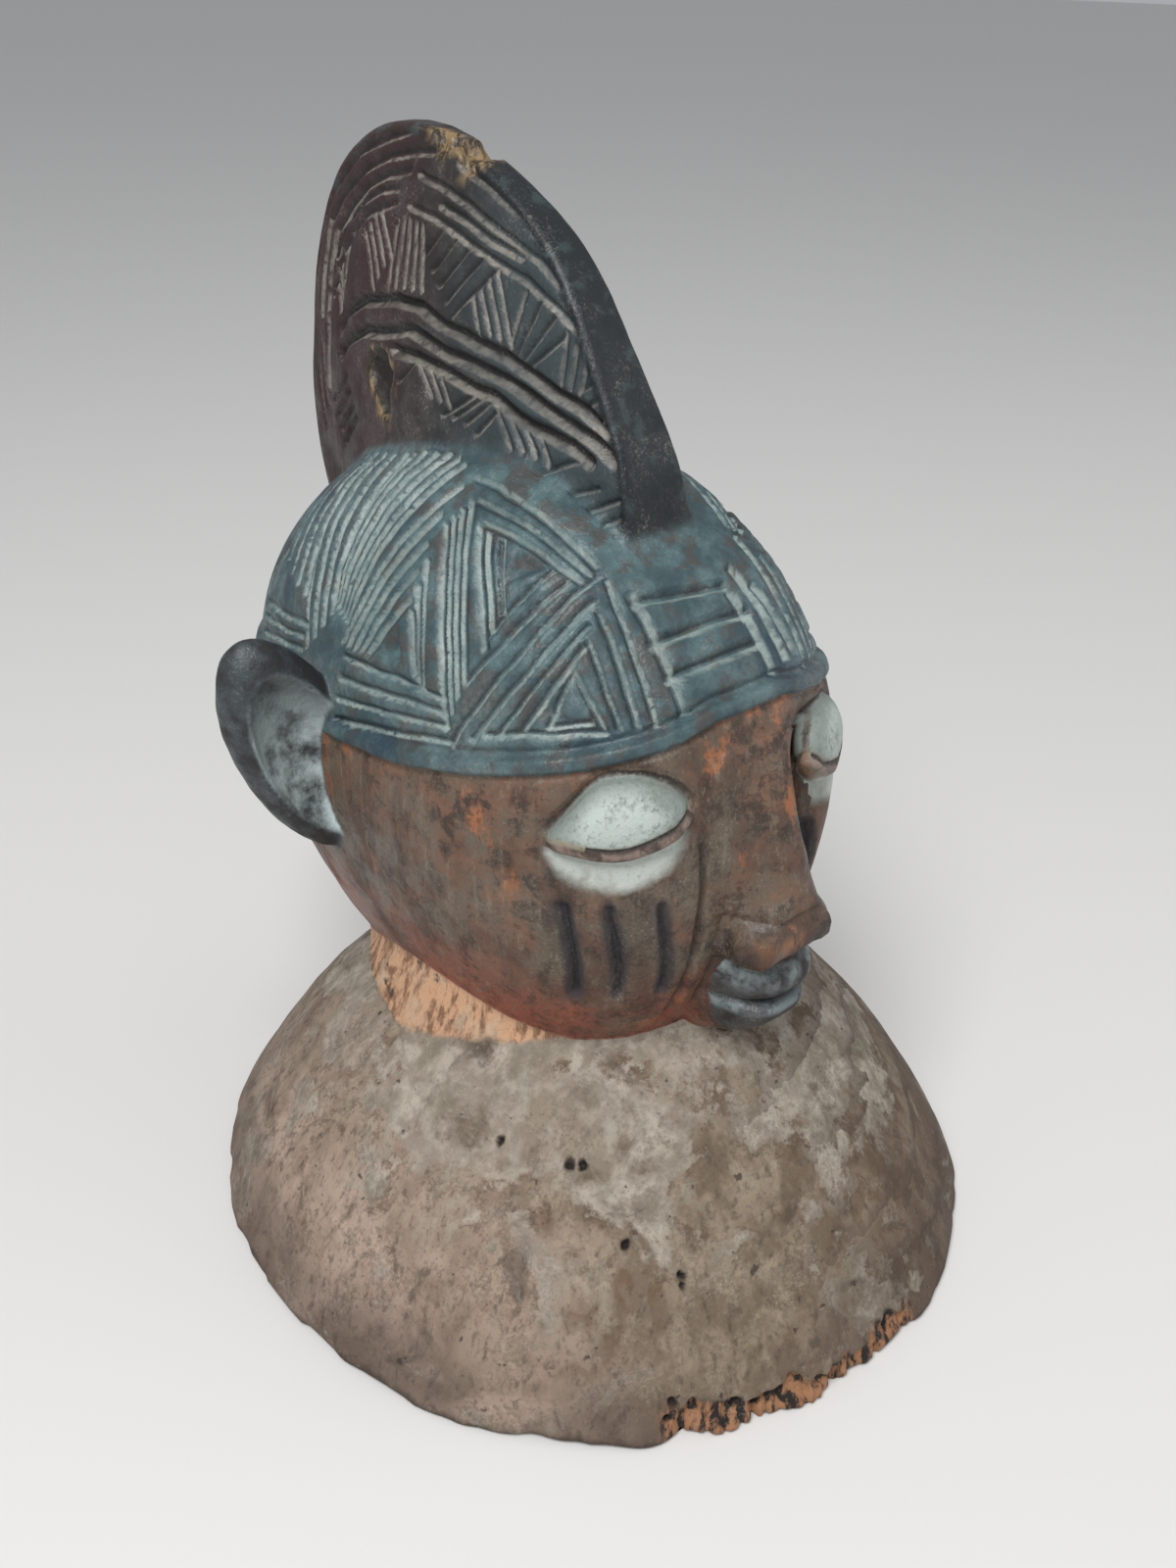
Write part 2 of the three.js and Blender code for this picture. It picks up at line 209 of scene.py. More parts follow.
# %% [markdown]
# Below the brow the carver left one proud column down the middle of the face. The nose is a broad
# wedge with nearly flat sides and a blunt, wide tip. The muzzle under it is almost a cylinder,
# with the lips running round it as two level rolls and the chin cut off close beneath. On the
# mask's left the wood falls away in a hollow, the socket, between the nose and the eye.

# %% Nose, muzzle and eyes
FACE_MIDDLE = 5.5
front_of = smooth_curve([
    (84, 50), (90, 58), (95, 67), (98.5, 74), (101.5, 77.5), (104.5, 80), (108, 83), (111, 83.3),
    (112.5, 80.5), (113.7, 75.5), (115, 81), (117, 84), (120, 85.5), (124, 84.5), (126.5, 81),
    (128, 79.5), (130, 83), (133, 86), (138, 87), (142, 86.5), (144, 85), (146, 85.5), (157, 82),
    (167, 78.5), (181, 74.5), (190, 71), (198, 68)], 0.6)
muzzle_half = smooth_curve([(84, 10), (92, 13), (98, 16), (104, 17.5), (118, 18), (129, 18), (140, 17)], 1.5)
ridge_half = smooth_curve([(120, 12), (131, 14), (141, 12), (148, 6), (155, 2), (170, 1), (198, 1)], 2)
nose_half = smooth_curve([(122, 15), (128, 18), (141, 19), (160, 20), (178, 20), (190, 18), (198, 15)], 2)


def nostril_reach(x, y, z):
    return np.sqrt((np.abs(x - FACE_MIDDLE) - 9) ** 2 + (y + 82) ** 2 + (z - 128.6) ** 2)


def face_column(x, y, z):
    reach, side = front_of(z), np.abs(x - FACE_MIDDLE)
    half = muzzle_half(z)
    round_share = (side / half) ** 2.8 + np.maximum((-46 - y) / (reach - 46), 0) ** 2.8 + 1e-9
    muzzle = (round_share ** (1 / 2.8) - 1) * half
    muzzle = np.maximum(np.maximum(muzzle, y + 40), np.maximum(z - 131, 84 - z))
    foot = 71.0 - 0.0042 * (z - 168) ** 2
    wide, ridge = nose_half(z), ridge_half(z)
    drop = (reach - foot) / (wide - ridge)
    slope = np.clip((side - ridge) / (wide - ridge), 0, 1.6)
    wedge = (reach - (reach - foot) * slope ** 1.12) * -1 - y
    wedge = wedge / np.sqrt(1 + drop ** 2)
    wedge = np.maximum(np.maximum(wedge, side - wide - 4), np.maximum(z - 198, 129 - z))
    wedge = np.maximum(wedge, y + 40)
    wing = np.sqrt((side - 11.5) ** 2 + (y + 77) ** 2 + ((z - 135.5) * 0.92) ** 2) - 7.0
    nostril = nostril_reach(x, y, z) - 3.0
    return cut(join(join(wedge, wing, 2), muzzle, 0.8), nostril, 0.6)


def socket(x, y, z):
    share = np.sqrt(((x - 27) / 16) ** 2 + ((y + 70) / 13) ** 2 + ((z - 176) / 31) ** 2)
    return (share - 1) * 13


EYE_TURN, EYE_PROUD = {-1: 28.5, 1: 25.0}, {-1: 9.5, 1: 6.8}
EYE_RISE, EYE_ROLL, EYE_LONG, EYE_HIGH, EYE_SUNK = 0.2, 6.0, 21.2, 13.2, 4.0


def eye_frame(side):
    turn = side * EYE_TURN[side]
    place = head_place(turn, EYE_RISE)
    across = head_place(turn + 0.5, EYE_RISE) - head_place(turn - 0.5, EYE_RISE)
    upward = head_place(turn, EYE_RISE + 0.01) - head_place(turn, EYE_RISE - 0.01)
    out = np.cross(across, upward)
    out = out / np.linalg.norm(out)
    level = np.cross([0, 0, 1], out)
    level = level / np.linalg.norm(level)
    rise = np.cross(out, level)
    roll = math.radians(-side * EYE_ROLL)
    along = level * math.cos(roll) + rise * math.sin(roll)
    upward = rise * math.cos(roll) - level * math.sin(roll)
    return place, along, upward, out


def eye_places(x, y, z, side):
    place, along, upward, out = eye_frame(side)
    q = [v - p for v, p in zip((x, y, z), place)]
    u, v, w = (sum(a * b for a, b in zip(q, axis)) for axis in (along, upward, out))
    return -side * u, v, w


def almond(u, v):
    tip = ramp(-u, 2, 21)
    return np.hypot(u / EYE_LONG, (v + 3.6 * tip) / (EYE_HIGH * (1 - 0.38 * tip)))


def eye(x, y, z, side):
    u, v, w = eye_places(x, y, z, side)
    share = np.hypot(almond(u, v), (w + EYE_SUNK) / EYE_PROUD[side])
    return (share - 1) * 9


# %% [markdown]
# The ears are thick leaves with a cup scooped from the front. The crest is an upright fin, nearly
# round in outline, thick at its heart and thin along its edge, with its peak behind its top.

# %% Ears and crest
def ear_shape(x, y, z, grow, forward):
    q = (np.abs(x) - 78.3, y - 53.1 + forward, z - 171.3)
    turn, lean = math.radians(14), math.radians(23)
    a = q[0] * math.cos(turn) + q[1] * math.sin(turn)
    b = -q[0] * math.sin(turn) + q[1] * math.cos(turn)
    across, up = a * math.cos(lean) - q[2] * math.sin(lean), a * math.sin(lean) + q[2] * math.cos(lean)
    size = (19.0, 12.0, 41.0)
    share = np.sqrt(sum((v / (s * grow)) ** 2 for v, s in zip((across, b, up), size)))
    return (share - 1) * 13


def ear(x, y, z):
    return cut(ear_shape(x, y, z, 1, 0), ear_shape(x, y, z, 0.78, 10), 1.6)


def crest_reach(angle):
    peak = 18 * bump(angle, 62, 33)
    dip = 6 * bump(angle, 145, 20)
    return (86 + peak - dip) / np.cos(np.radians(np.clip(angle - 180, 0, 25)))


def crest_half(share, angle):
    edge = 4 + 8.5 * np.clip((angle - 62) / 118, 0, 1) ** 2 + 2 * np.clip((62 - angle) / 90, 0, 1)
    return edge + (25 - edge) * np.clip(1 - share, 0, 1) ** 0.8


def crest_angle_share(y, z):
    angle = np.degrees(np.arctan2(z - CREST_Z, y - CREST_Y))
    angle = np.where(angle < -90, angle + 360, angle)
    return angle, np.hypot(y - CREST_Y, z - CREST_Z) / crest_reach(angle)


def crest(x, y, z):
    angle, share = crest_angle_share(y, z)
    flank = (np.abs(x) - crest_half(share, angle)) * 0.96
    edge = (share - 1) * crest_reach(angle)
    return cut(flank, -edge, 2.2)


# %% [markdown]
# ## What time took away
# Nothing lost is put back. The crest has a torn notch at its top and a punky hole in its flank,
# and the front of the rim is eaten, with soft wood gone between the harder fibres.

# %% Losses
def oval(x, y, z, middle, size):
    share = np.sqrt(sum(((v - m) / s) ** 2 for v, m, s in zip((x, y, z), middle, size)))
    return (share - 1) * min(size)


def losses(x, y, z):
    rough = 1.3 * lumps(x, y, z / 3, 2.6, 5) + 0.9 * lumps(x, y, z, 6, 6)
    top = oval(x, y, z, (0, 56.5, 345), (14, 7.5, 12))
    shelf = oval(x, y, z, (-6, 66, 348), (7.5, 9, 11))
    hole = oval(x, y, z, (-22, 87, 271), (8, 9, 9))
    split = oval(x, y, z, (-20, 82.5, 262.5), (15, 4.5, 5))
    gone = join(join(top, shelf, 1), join(hole, split, 1.5), 1)
    return gone + rough


def rim_loss(x, y, z):
    turn = np.degrees(np.arctan2(x, -y * RIM_WIDTH / RIM_DEPTH))
    along = ramp(turn, -36, -29) * (1 - ramp(turn, 7, 13))
    threads = np.maximum(0, lumps(x, y, z / 7, 2.4, 11) + 0.25)
    deep = 3.0 + 2.4 * lumps(x, y, z, 13, 13) + 4.6 * threads * (0.6 + 0.4 * lumps(x, y, z / 3, 7, 12))
    high = 14 + 4 * lumps(x, y, z * 0, 9, 14) + 3 * lumps(x, y, z * 0, 3, 15)
    eaten = along * np.maximum(deep, 0) * (1 - ramp(z, high * 0.5, high))
    nicks = 2.2 * np.maximum(0, lumps(x, y, z * 0, 10, 16) - 0.3) * (1 - ramp(z, 1.5, 6))
    return np.maximum(eaten, nicks)


# %% [markdown]
# All the forms together make one distance. The hand of the carver is in it too: broad, shallow
# facets of an adze on the skirt, finer unevenness on the face.

# %% The whole block
def forms(x, y, z):
    return {"skirt": skirt(x, y, z), "neck": neck(x, y, z), "head": head(x, y, z),
            "column": face_column(x, y, z), "crest": crest(x, y, z),
            "ear": ear(x, y, z), "eye": np.minimum(eye(x, y, z, -1), eye(x, y, z, 1))}


def block(points, hand=True):
    x, y, z = points[..., 0], points[..., 1], points[..., 2]
    part = forms(x, y, z)
    upper = join(part["head"], part["crest"], 5)
    upper = cut(join(upper, part["column"], 1.2), socket(x, y, z), 4)
    upper = join(upper, part["ear"], 2.0)
    upper = join(upper, part["eye"], 0.5)
    lower = join(part["skirt"], part["neck"], 3)
    if hand:
        lower = lower + 0.55 * lumps(x, y, z, 22, 1) + 0.35 * lumps(x, y, z * 0.4, 7, 2)
        upper = upper + 0.35 * lumps(x, y, z, 18, 3) + 0.12 * lumps(x, y, z, 5, 4)
    whole = join(upper, lower, 1.6)
    whole = np.maximum(whole, -hollow(x, y, z))
    whole = np.maximum(whole, -z)
    return cut(whole, losses(x, y, z), 0.4) if hand else whole


# %% [markdown]
# ## From distance to mesh
# A level-set grid turns the distance into an even quad mesh. The grid alone would be stepped and
# coarse, so every point then walks along the slope of the distance until it lies exactly on the
# surface. One plain subdivision makes room for the carving.

# %% Make the base mesh
def slope_of(points, shape, step=0.35):
    slope = np.empty_like(points)
    for axis in range(3):
        move = np.zeros(3)
        move[axis] = step
        slope[:, axis] = (shape(points + move) - shape(points - move)) / (2 * step)
    return slope


def plain_block(points):
    return block(points, hand=False)


def settle(points, shape, rounds):
    slope = slope_of(points, plain_block)
    size = np.maximum((slope ** 2).sum(1), 0.15)
    for _ in range(rounds):
        points = points - slope * np.clip(shape(points) / size, -1.2, 1.2)[:, None]
    return points, slope / np.sqrt(size)[:, None]


cell = 1.5
start = np.array([-136.0, -146.0, -6.0])
count = np.ceil(np.array([272.0, 302.0, 362.0]) / cell).astype(int)
axes = [start[k] + cell * np.arange(count[k]) for k in range(3)]
distance = np.empty(count, np.float32)
for i, x in enumerate(axes[0]):
    y, z = np.meshgrid(axes[1], axes[2], indexing="ij")
    distance[i] = plain_block(np.stack([np.full_like(y, x), y, z], -1))
grid = openvdb.FloatGrid(background=50.0)
grid.copyFromArray(np.clip(distance, -50, 50))
points, triangles, quads = grid.convertToPolygons(isovalue=0.0, adaptivity=0.0)
points = points.astype(float) * cell + start
print("level set:", len(points), "points,", len(quads), "quads,", len(triangles), "triangles")


# %% Put it in Blender and refine it
def new_mesh(name, points, faces):
    mesh = bpy.data.meshes.new(name)
    mesh.from_pydata(points.tolist(), [], faces)
    mesh.validate()
    thing = bpy.data.objects.new(name, mesh)
    bpy.context.scene.collection.objects.link(thing)
    return thing


def apply_modifiers(thing):
    depsgraph = bpy.context.evaluated_depsgraph_get()
    made = bpy.data.meshes.new_from_object(thing.evaluated_get(depsgraph), depsgraph=depsgraph)
    thing.modifiers.clear()
    old, thing.data = thing.data, made
    bpy.data.meshes.remove(old)


def get_points(mesh):
    flat = np.empty(len(mesh.vertices) * 3)
    mesh.vertices.foreach_get("co", flat)
    return flat.reshape(-1, 3)


def set_points(mesh, points):
    mesh.vertices.foreach_set("co", np.ascontiguousarray(points).ravel())
    mesh.update()


points, _ = settle(points, plain_block, 2)
mask = new_mesh("carved_mask", points, quads.tolist() + triangles.tolist())
refine = mask.modifiers.new("refine", "SUBSURF")
refine.subdivision_type = "SIMPLE"
refine.levels = 1
apply_modifiers(mask)
points, outward = settle(get_points(mask.data), block, 3)
print("refined:", len(points), "points")

# %% [markdown]
# ## The carved cap
# The cap is cut with straight strokes of a V-shaped blade, grouped in hatched triangles. A stroke
# across a round head lies in a plane through the head's middle. That makes its distance easy to
# measure: how far a point is from that plane, and how far past the stroke's two ends. Each group
# is fanned from a first stroke to a last one. The strokes on the other side mirror these. One wall
# of each cut faces the window and one turns from it, and both are noted for the paint: dust with a
# painted highlight on the first, painted shade on the second.

# %% Strokes of the cap
CAP_STROKES = [
    ((-28, .799), (-63, .319), (-36, .58), (-41, .443), 5),
    ((-26, .791), (-21, .448), (-36, .574), (-31, .45), 4),
    ((-54, .377), (-30, .442), (-41, .44), (-33, .462), 2),
    ((-93, .921), (-28, .814), (-70, .848), (-33, .78), 3),
    ((-36, .778), (-61, .495), (-40, .797), (-57, .626), 2),
    ((-71, .842), (-57, .593), (-59, .825), (-54, .685), 3),
    ((-88, .82), (-64, .355), (-83, .883), (-61, .495), 4),
    ((-98, .9), (-108, .427), (-87, .625), (-97, .433), 5),
    ((-88, .733), (-73, .428), (-85, .603), (-77, .456), 3),
    ((-106, .393), (-66, .434), (-106, .184), (-64, .323), 4),
    ((-155, .943), (-119, .528), (-113, .934), (-110, .481), 6),
    ((-168, .876), (-122, .337), (-157, .933), (-117, .484), 4),
    ((-149, .298), (-126, .398), (-145, .22), (-124, .32), 3),
    ((-165, .808), (-145, .497), (-153, .822), (-130, .467), 4),
    ((-178, .8), (-158, .3), (-170, .62), (-164, .3), 4),
    ((-178, .5), (-168, .2), (-176, .3), (-172, .2), 3),
    ((-154, .3), (-148, .5), (-140, .17), (-128, .23), 2),
]
PANEL_STROKES = [
    ((-20, .76), (-15, .465), (-20, .76), (-15, .465), 1), ((8, .72), (9, .49), (8, .72), (9, .49), 1),
    ((-20, .745), (8, .74), (-20, .745), (8, .74), 1),
    ((-18.5, .648), (10, .66), (-17, .558), (9, .577), 2),
    ((14, .76), (14, .5), (17, .7), (18.5, .5), 2),
]
PITS = [[(-41, .52), (-36, .455), (-45, .45)], [(-56, .729), (-40, .80), (-52, .825)],
        [(-88, .56), (-82, .46), (-95, .46)]]
CAP_HALF, CAP_DEEP, PANEL_HALF, PANEL_DEEP = 1.75, 1.5, 2.6, 2.2
WINDOW = np.array([-0.5, -0.3, 0.8])


# %% How one stroke cuts
def fan(groups, sides):
    strokes = []
    for side in sides:
        for a, b, c, d, number in groups:
            for i in range(number):
                t = i / max(number - 1, 1)
                start = [a[k] + (c[k] - a[k]) * t for k in (0, 1)]
                end = [b[k] + (d[k] - b[k]) * t for k in (0, 1)]
                strokes.append((side * start[0], start[1], side * end[0], end[1]))
    return strokes


def stroke_distance(q, start, end):
    a, b = (head_place(*place) - HEAD for place in (start, end))
    across = np.cross(a, b)
    across = across / np.linalg.norm(across)
    past_a, past_b = np.cross(across, a), np.cross(b, across)
    past_a, past_b = (v / np.linalg.norm(v) for v in (past_a, past_b))
    across = across * (1 if across @ WINDOW >= 0 else -1)
    beyond = np.maximum(np.maximum(-(q @ past_a), -(q @ past_b)), 0)
    beyond = np.where(q @ (a + b) > 0, beyond, FAR)
    return q @ across, beyond


def vee(off, beyond, half, deep):
    share = np.clip(1 - np.hypot(off, beyond * 1.4) / half, 0, 1)
    return deep * np.minimum(share * 1.25, 1 - 0.25 * (1 - share))


def wall(off, beyond, half, middle):
    share = np.clip(1 - np.abs(off - middle * half) / (half * 0.5), 0, 1)
    return share * np.clip(1 - beyond / 2.0, 0, 1)


# %% Cut the cap
turn, rise = head_turn_rise(*points.T)
part = forms(*points.T)
on_head = (np.abs(part["head"]) < 2.2) & (part["crest"] > 0.8) & (part["ear"] > 1.5) & (rise > 0)
hem_height = curve([
    (0, .452), (9, .45), (15, .425), (30, .375), (44, .325), (60, .27), (81, .2), (106, .15),
    (140, .125), (180, .12)])
ring = np.sqrt(np.maximum(1 - rise ** 2, 0.04))
girth = np.hypot(points[:, 0], points[:, 1] - HEAD[1]) / ring
per_rise = np.sqrt((girth * rise / ring) ** 2 + HEAD_UP ** 2)
above_hem = (rise - hem_height(np.abs(turn))) * per_rise

wander = np.stack([lumps(*points.T, size, seed) * 0.5 for size, seed in ((9, 21), (7, 22), (8, 23))], -1)
chosen = np.flatnonzero(on_head & (above_hem > 3))
q = points[chosen] - HEAD + wander[chosen]
uneven = 1 + 0.22 * lumps(*points[chosen].T, 12, 24)
carved = np.zeros(len(points))
depth, lit, dim = np.zeros((3, len(chosen)))
panel = fan(PANEL_STROKES, (1,))
strokes = fan(CAP_STROKES, (1, -1)) + panel
for number, (t0, r0, t1, r1) in enumerate(strokes):
    off, beyond = stroke_distance(q, (t0, r0), (t1, r1))
    bold = number >= len(strokes) - len(panel)
    half = PANEL_HALF if bold else CAP_HALF + 0.25 * math.sin(number * 2.4)
    depth = np.maximum(depth, vee(off, beyond, half, PANEL_DEEP if bold else CAP_DEEP) * uneven)
    lit = np.maximum(lit, wall(off, beyond, half, -0.5))
    dim = np.maximum(dim, wall(off, beyond, half, 0.4))
for side in (1, -1):
    for corners in PITS:
        a, b, c = (head_place(side * t, r) - HEAD for t, r in corners)
        inside = np.full(len(chosen), FAR)
        for one, two, third in ((a, b, c), (b, c, a), (c, a, b)):
            fence = np.cross(one, two)
            fence = fence * np.sign(fence @ third) / np.linalg.norm(fence)
            inside = np.minimum(inside, q @ fence)
        depth = np.maximum(depth, np.clip(inside * 0.9, 0, 2.0) * (q @ (a + b + c) > 0))
carved[chosen] = depth
lit_all, dim_all = np.zeros((2, len(points)))
lit_all[chosen], dim_all[chosen] = lit, dim
print("cap:", len(strokes), "strokes over", len(chosen), "points")

# %% [markdown]
# ## The carved crest
# The crest's flanks carry arched lines that follow its outline, three bold ribs, and slanting
# hatches between them. The flank is nearly flat, so these are drawn in its own plane, by their
# angle round the fin and their share of the way out to its edge.

# %% Strokes of the crest
ARCHES = [
    [(77, .98), (70, .96), (60, .96), (49, .97), (38, .99), (30, .98)],
    [(84, .95), (70, .91), (61, .9), (52, .91), (44, .92), (34, .9), (24, .88)],
    [(77, .87), (69, .86), (62, .85), (54, .85), (46, .86), (37, .84), (27, .81), (9, .78)],
    [(73, .82), (67, .82), (59, .82), (51, .83), (42, .82)],
    [(72, .78), (65, .77), (60, .78), (52, .78), (44, .79), (34, .79)],
    [(92, .96), (101, .97), (112, .99), (120, 1.0), (127, 1.04)],
    [(81, .87), (86, .87), (96, .88), (105, .89), (113, .91), (120, .95), (127, .98), (133, 1.02)],
    [(89, .82), (99, .84), (106, .85), (116, .9)],
    [(78, .78), (86, .78), (95, .78), (108, .81), (120, .87), (130, .93), (136, .98), (142, 1.03)],
]
BOLD_ARCHES = [
    [(30, .69), (38, .66), (50, .58), (68, .51), (82, .51), (97, .51), (115, .57), (127, .65),
     (136, .72), (146, .82), (152, .91), (158, .97)],
    [(23, .67), (31, .62), (44, .52), (66, .42), (76, .43), (87, .43), (101, .44), (120, .52),
     (133, .61), (144, .71), (152, .8), (159, .91), (164, .98)],
    [(64, .37), (81, .36), (104, .39), (123, .45), (134, .53), (146, .61), (154, .71), (159, .81),
     (163, .87)],
]
HATCHES = [
    ((51, .78), (34, .71), (40, .8), (34, .71), 3), ((58, .74), (57, .57), (66, .77), (69, .63), 4),
    ((73, .74), (65, .53), (83, .74), (84, .55), 5), ((90, .76), (84, .66), (111, .8), (100, .55), 5),
    ((107, .66), (115, .6), (111, .8), (128, .7), 4),
    ((122, .85), (128, .69), (136, .94), (136, .75), 4),
    ((136, .94), (145, .85), (143, .99), (149, .91), 3),
    ((148, 1.05), (148, .92), (153, 1.06), (155, .95), 3),
    ((80, .34), (64, .28), (80, .34), (64, .28), 1), ((83, .35), (100, .28), (101, .37), (119, .32), 3),
    ((128, .46), (117, .27), (140, .54), (144, .4), 4),
    ((139, .53), (156, .54), (153, .68), (163, .7), 4),
    ((166, .6), (163, .82), (171, .7), (169, .89), 2),
    ((175, .8), (171, .98), (180, .9), (176, 1.05), 3), ((20, .6), (6, .72), (8, .5), (-6, .64), 4),
    ((24, .82), (8, .76), (10, .9), (-4, .84), 3),
]


# %% How one stroke cuts the flank
def flank_place(angle, share):
    reach = crest_reach(np.float64(angle)) * share
    turn = math.radians(angle)
    return np.array([CREST_Y + reach * math.cos(turn), CREST_Z + reach * math.sin(turn)])



def flank_stroke(q, a, b):
    run = b - a
    length = np.linalg.norm(run)
    run = run / length
    t = (q - a) @ run
    side = np.array([-run[1], run[0]])
    side = side * (1 if side @ WINDOW[1:] >= 0 else -1)
    return (q - a) @ side, np.maximum(np.maximum(-t, t - length), 0)


# %% Cut the crest
BOLD_DEEP, HATCH_HALF, HATCH_DEEP = 3.0, 1.5, 1.35
angle, share = crest_angle_share(points[:, 1], points[:, 2])
on_crest = (np.abs(part["crest"]) < 2.4) & (part["head"] > -0.5) & (share < 0.985)
chosen = np.flatnonzero(on_crest)
q = points[chosen, 1:] + wander[chosen, 1:] * 0.8
uneven = 1 + 0.22 * lumps(*points[chosen].T, 11, 31)
depth, bold_depth, lit, dim = np.zeros((4, len(chosen)))
for paths, half, deep in ((ARCHES, 1.9, 1.6), (BOLD_ARCHES, 2.7, BOLD_DEEP)):
    for path in paths:
        places = [flank_place(a, s) for a, s in path]
        nearest, signed = np.full((2, len(chosen)), FAR)
        for a, b in zip(places, places[1:]):
            off, beyond = flank_stroke(q, a, b)
            reach = np.hypot(off, beyond)
            signed = np.where(reach < nearest, np.sign(off) * reach, signed)
            nearest = np.minimum(nearest, reach)
        depth = np.maximum(depth, vee(nearest, 0, half, deep) * uneven)
        lit = np.maximum(lit, wall(signed, 0, half, -0.62))
        dim = np.maximum(dim, wall(signed, 0, half, 0.35))
        if deep == BOLD_DEEP:
            bold_depth = np.maximum(bold_depth, vee(nearest, 0, half, deep))
for a, b, c, d, number in HATCHES:
    for i in range(number):
        t = i / max(number - 1, 1)
        start = flank_place(a[0] + (c[0] - a[0]) * t, a[1] + (c[1] - a[1]) * t)
        end = flank_place(b[0] + (d[0] - b[0]) * t, b[1] + (d[1] - b[1]) * t)
        off, beyond = flank_stroke(q, start, end)
        depth = np.maximum(depth, vee(off, beyond, HATCH_HALF, HATCH_DEEP) * uneven)
        lit = np.maximum(lit, 0.8 * wall(off, beyond, HATCH_HALF, -0.45))
        dim = np.maximum(dim, wall(off, beyond, HATCH_HALF, 0.4))
fade = 1 - ramp(share[chosen], 0.965, 0.985)
carved[chosen] = depth * fade
lit_all[chosen], dim_all[chosen] = lit * fade, dim * fade
bold = np.zeros(len(points))
bold[chosen] = bold_depth * fade
print("crest:", len(chosen), "points carved")

# %% [markdown]
# ## Hem, eyes, scars and mouth
# The cap ends in a rounded hem with a groove above it. The eyes are closed almonds with a slit low
# across them. Three upright scars mark each cheek, and a groove runs down beside the nose.

# %% Hem, scars and cheek grooves
SCAR_TURNS, SCAR_TOP, SCAR_FOOT = (38.2, 30.0, 21.0), -0.085, -0.385
skin = np.abs(part["head"]) < 4
raised = 1.8 * np.clip(1 - (above_hem / 2.6) ** 4, 0, 1)
raised = raised - 1.3 * bump(above_hem, 4.2, 1.2) - 0.7 * bump(above_hem, -3.4, 0.9)
raised = np.where(skin & (part["crest"] > 1.5) & (part["ear"] > 2) & (part["column"] > -3), raised, 0)

scars = np.full(len(points), FAR)
wobble = 0.45 * lumps(*points.T, 14, 41)
for side in (1, -1):
    for t in SCAR_TURNS:
        middle = side * t - side * 3.2 * ramp(rise, -0.02, -0.36)
        off = np.radians(np.abs(turn - middle)) * girth * ring + wobble
        beyond = np.maximum(np.maximum(rise - SCAR_TOP, SCAR_FOOT - rise), 0) * HEAD_DOWN
        reach = np.where(np.abs(turn - middle) < 15, np.hypot(off, beyond * 0.8), FAR)
        scars = np.minimum(scars, reach)
scar_cut = 2.5 * np.clip(1 - scars / 2.5, 0, 1)
cheek_turn = curve([
    (-0.55, 18), (-0.45, 16.9), (-0.32, 15.6), (-0.2, 15.8), (-0.06, 15.6), (0.07, 16.2), (0.12, 17)])
face_turn = np.degrees(np.arctan2(points[:, 0] - FACE_MIDDLE, HEAD[1] - points[:, 1]))
off = np.radians(np.abs(np.abs(face_turn) - cheek_turn(rise))) * girth * ring
cheek_cut = 2.8 * np.clip(1 - off / 2.3, 0, 1) * ramp(rise, -0.62, -0.5) * (1 - ramp(rise, 0.06, 0.14))
cheek_cut = np.where(rise > -0.62, cheek_cut, 0)


# %% Eyes and lids
def eye_marks(points, side):
    u, v, w = eye_places(*points.T, side)
    near = (w > -9) & (w < 12)
    slit_at = np.interp(u, [-15, -8.3, -3, 2.7, 8, 15.6, 20], [-4.5, -6.8, -7.8, -7.7, -6.2, -3.5, 1])
    return u, v, near, almond(u, v), v - slit_at


eye_groove = np.zeros(len(points))
slit, eye_cap, crescent, lid_low = np.full((4, len(points)), FAR)
for side in (1, -1):
    u, v, near, outline, over = eye_marks(points, side)
    rim_line = np.abs(outline - 1.03) * 13
    weight = 0.35 + 0.65 * ramp(v, -6, 4)
    line_cut = 1.5 * weight * np.clip(1 - rim_line / 2.0, 0, 1)
    eye_groove = np.where(near, np.maximum(eye_groove, line_cut), eye_groove)
    slit = np.where(near & (outline < 0.97) & (u > -10), np.minimum(slit, np.abs(over)), slit)
    eye_cap = np.where(near, np.minimum(eye_cap, (outline - 1) * 13), eye_cap)
    lid_low = np.where(near & (outline < 1.3), np.minimum(lid_low, over), lid_low)
    low_arc = np.sqrt(((u + 1.5) / 20) ** 2 + ((v + 7) / 16) ** 2)
    crescent = np.where(near, np.minimum(crescent, np.maximum((low_arc - 1) * 17, over + 2.8)), crescent)
slit_cut = 1.3 * np.clip(1 - slit / 1.3, 0, 1)
lid_roll = 0.9 * bump(lid_low, -2.4, 1.5) * (1 - ramp(eye_cap, 0, 1))
crease = 0.8 * bump(points[:, 2], 145.2, 0.8) * (part["column"] < 0.8)
crease = crease * (np.abs(points[:, 0] - FACE_MIDDLE) < 19)
down = carved - raised + crease + np.where(part["column"] > 1.0, scar_cut, 0)
down = down + cheek_cut + eye_groove + slit_cut - lid_roll
print("deepest cut:", round(float(down.max()), 2), "mm")

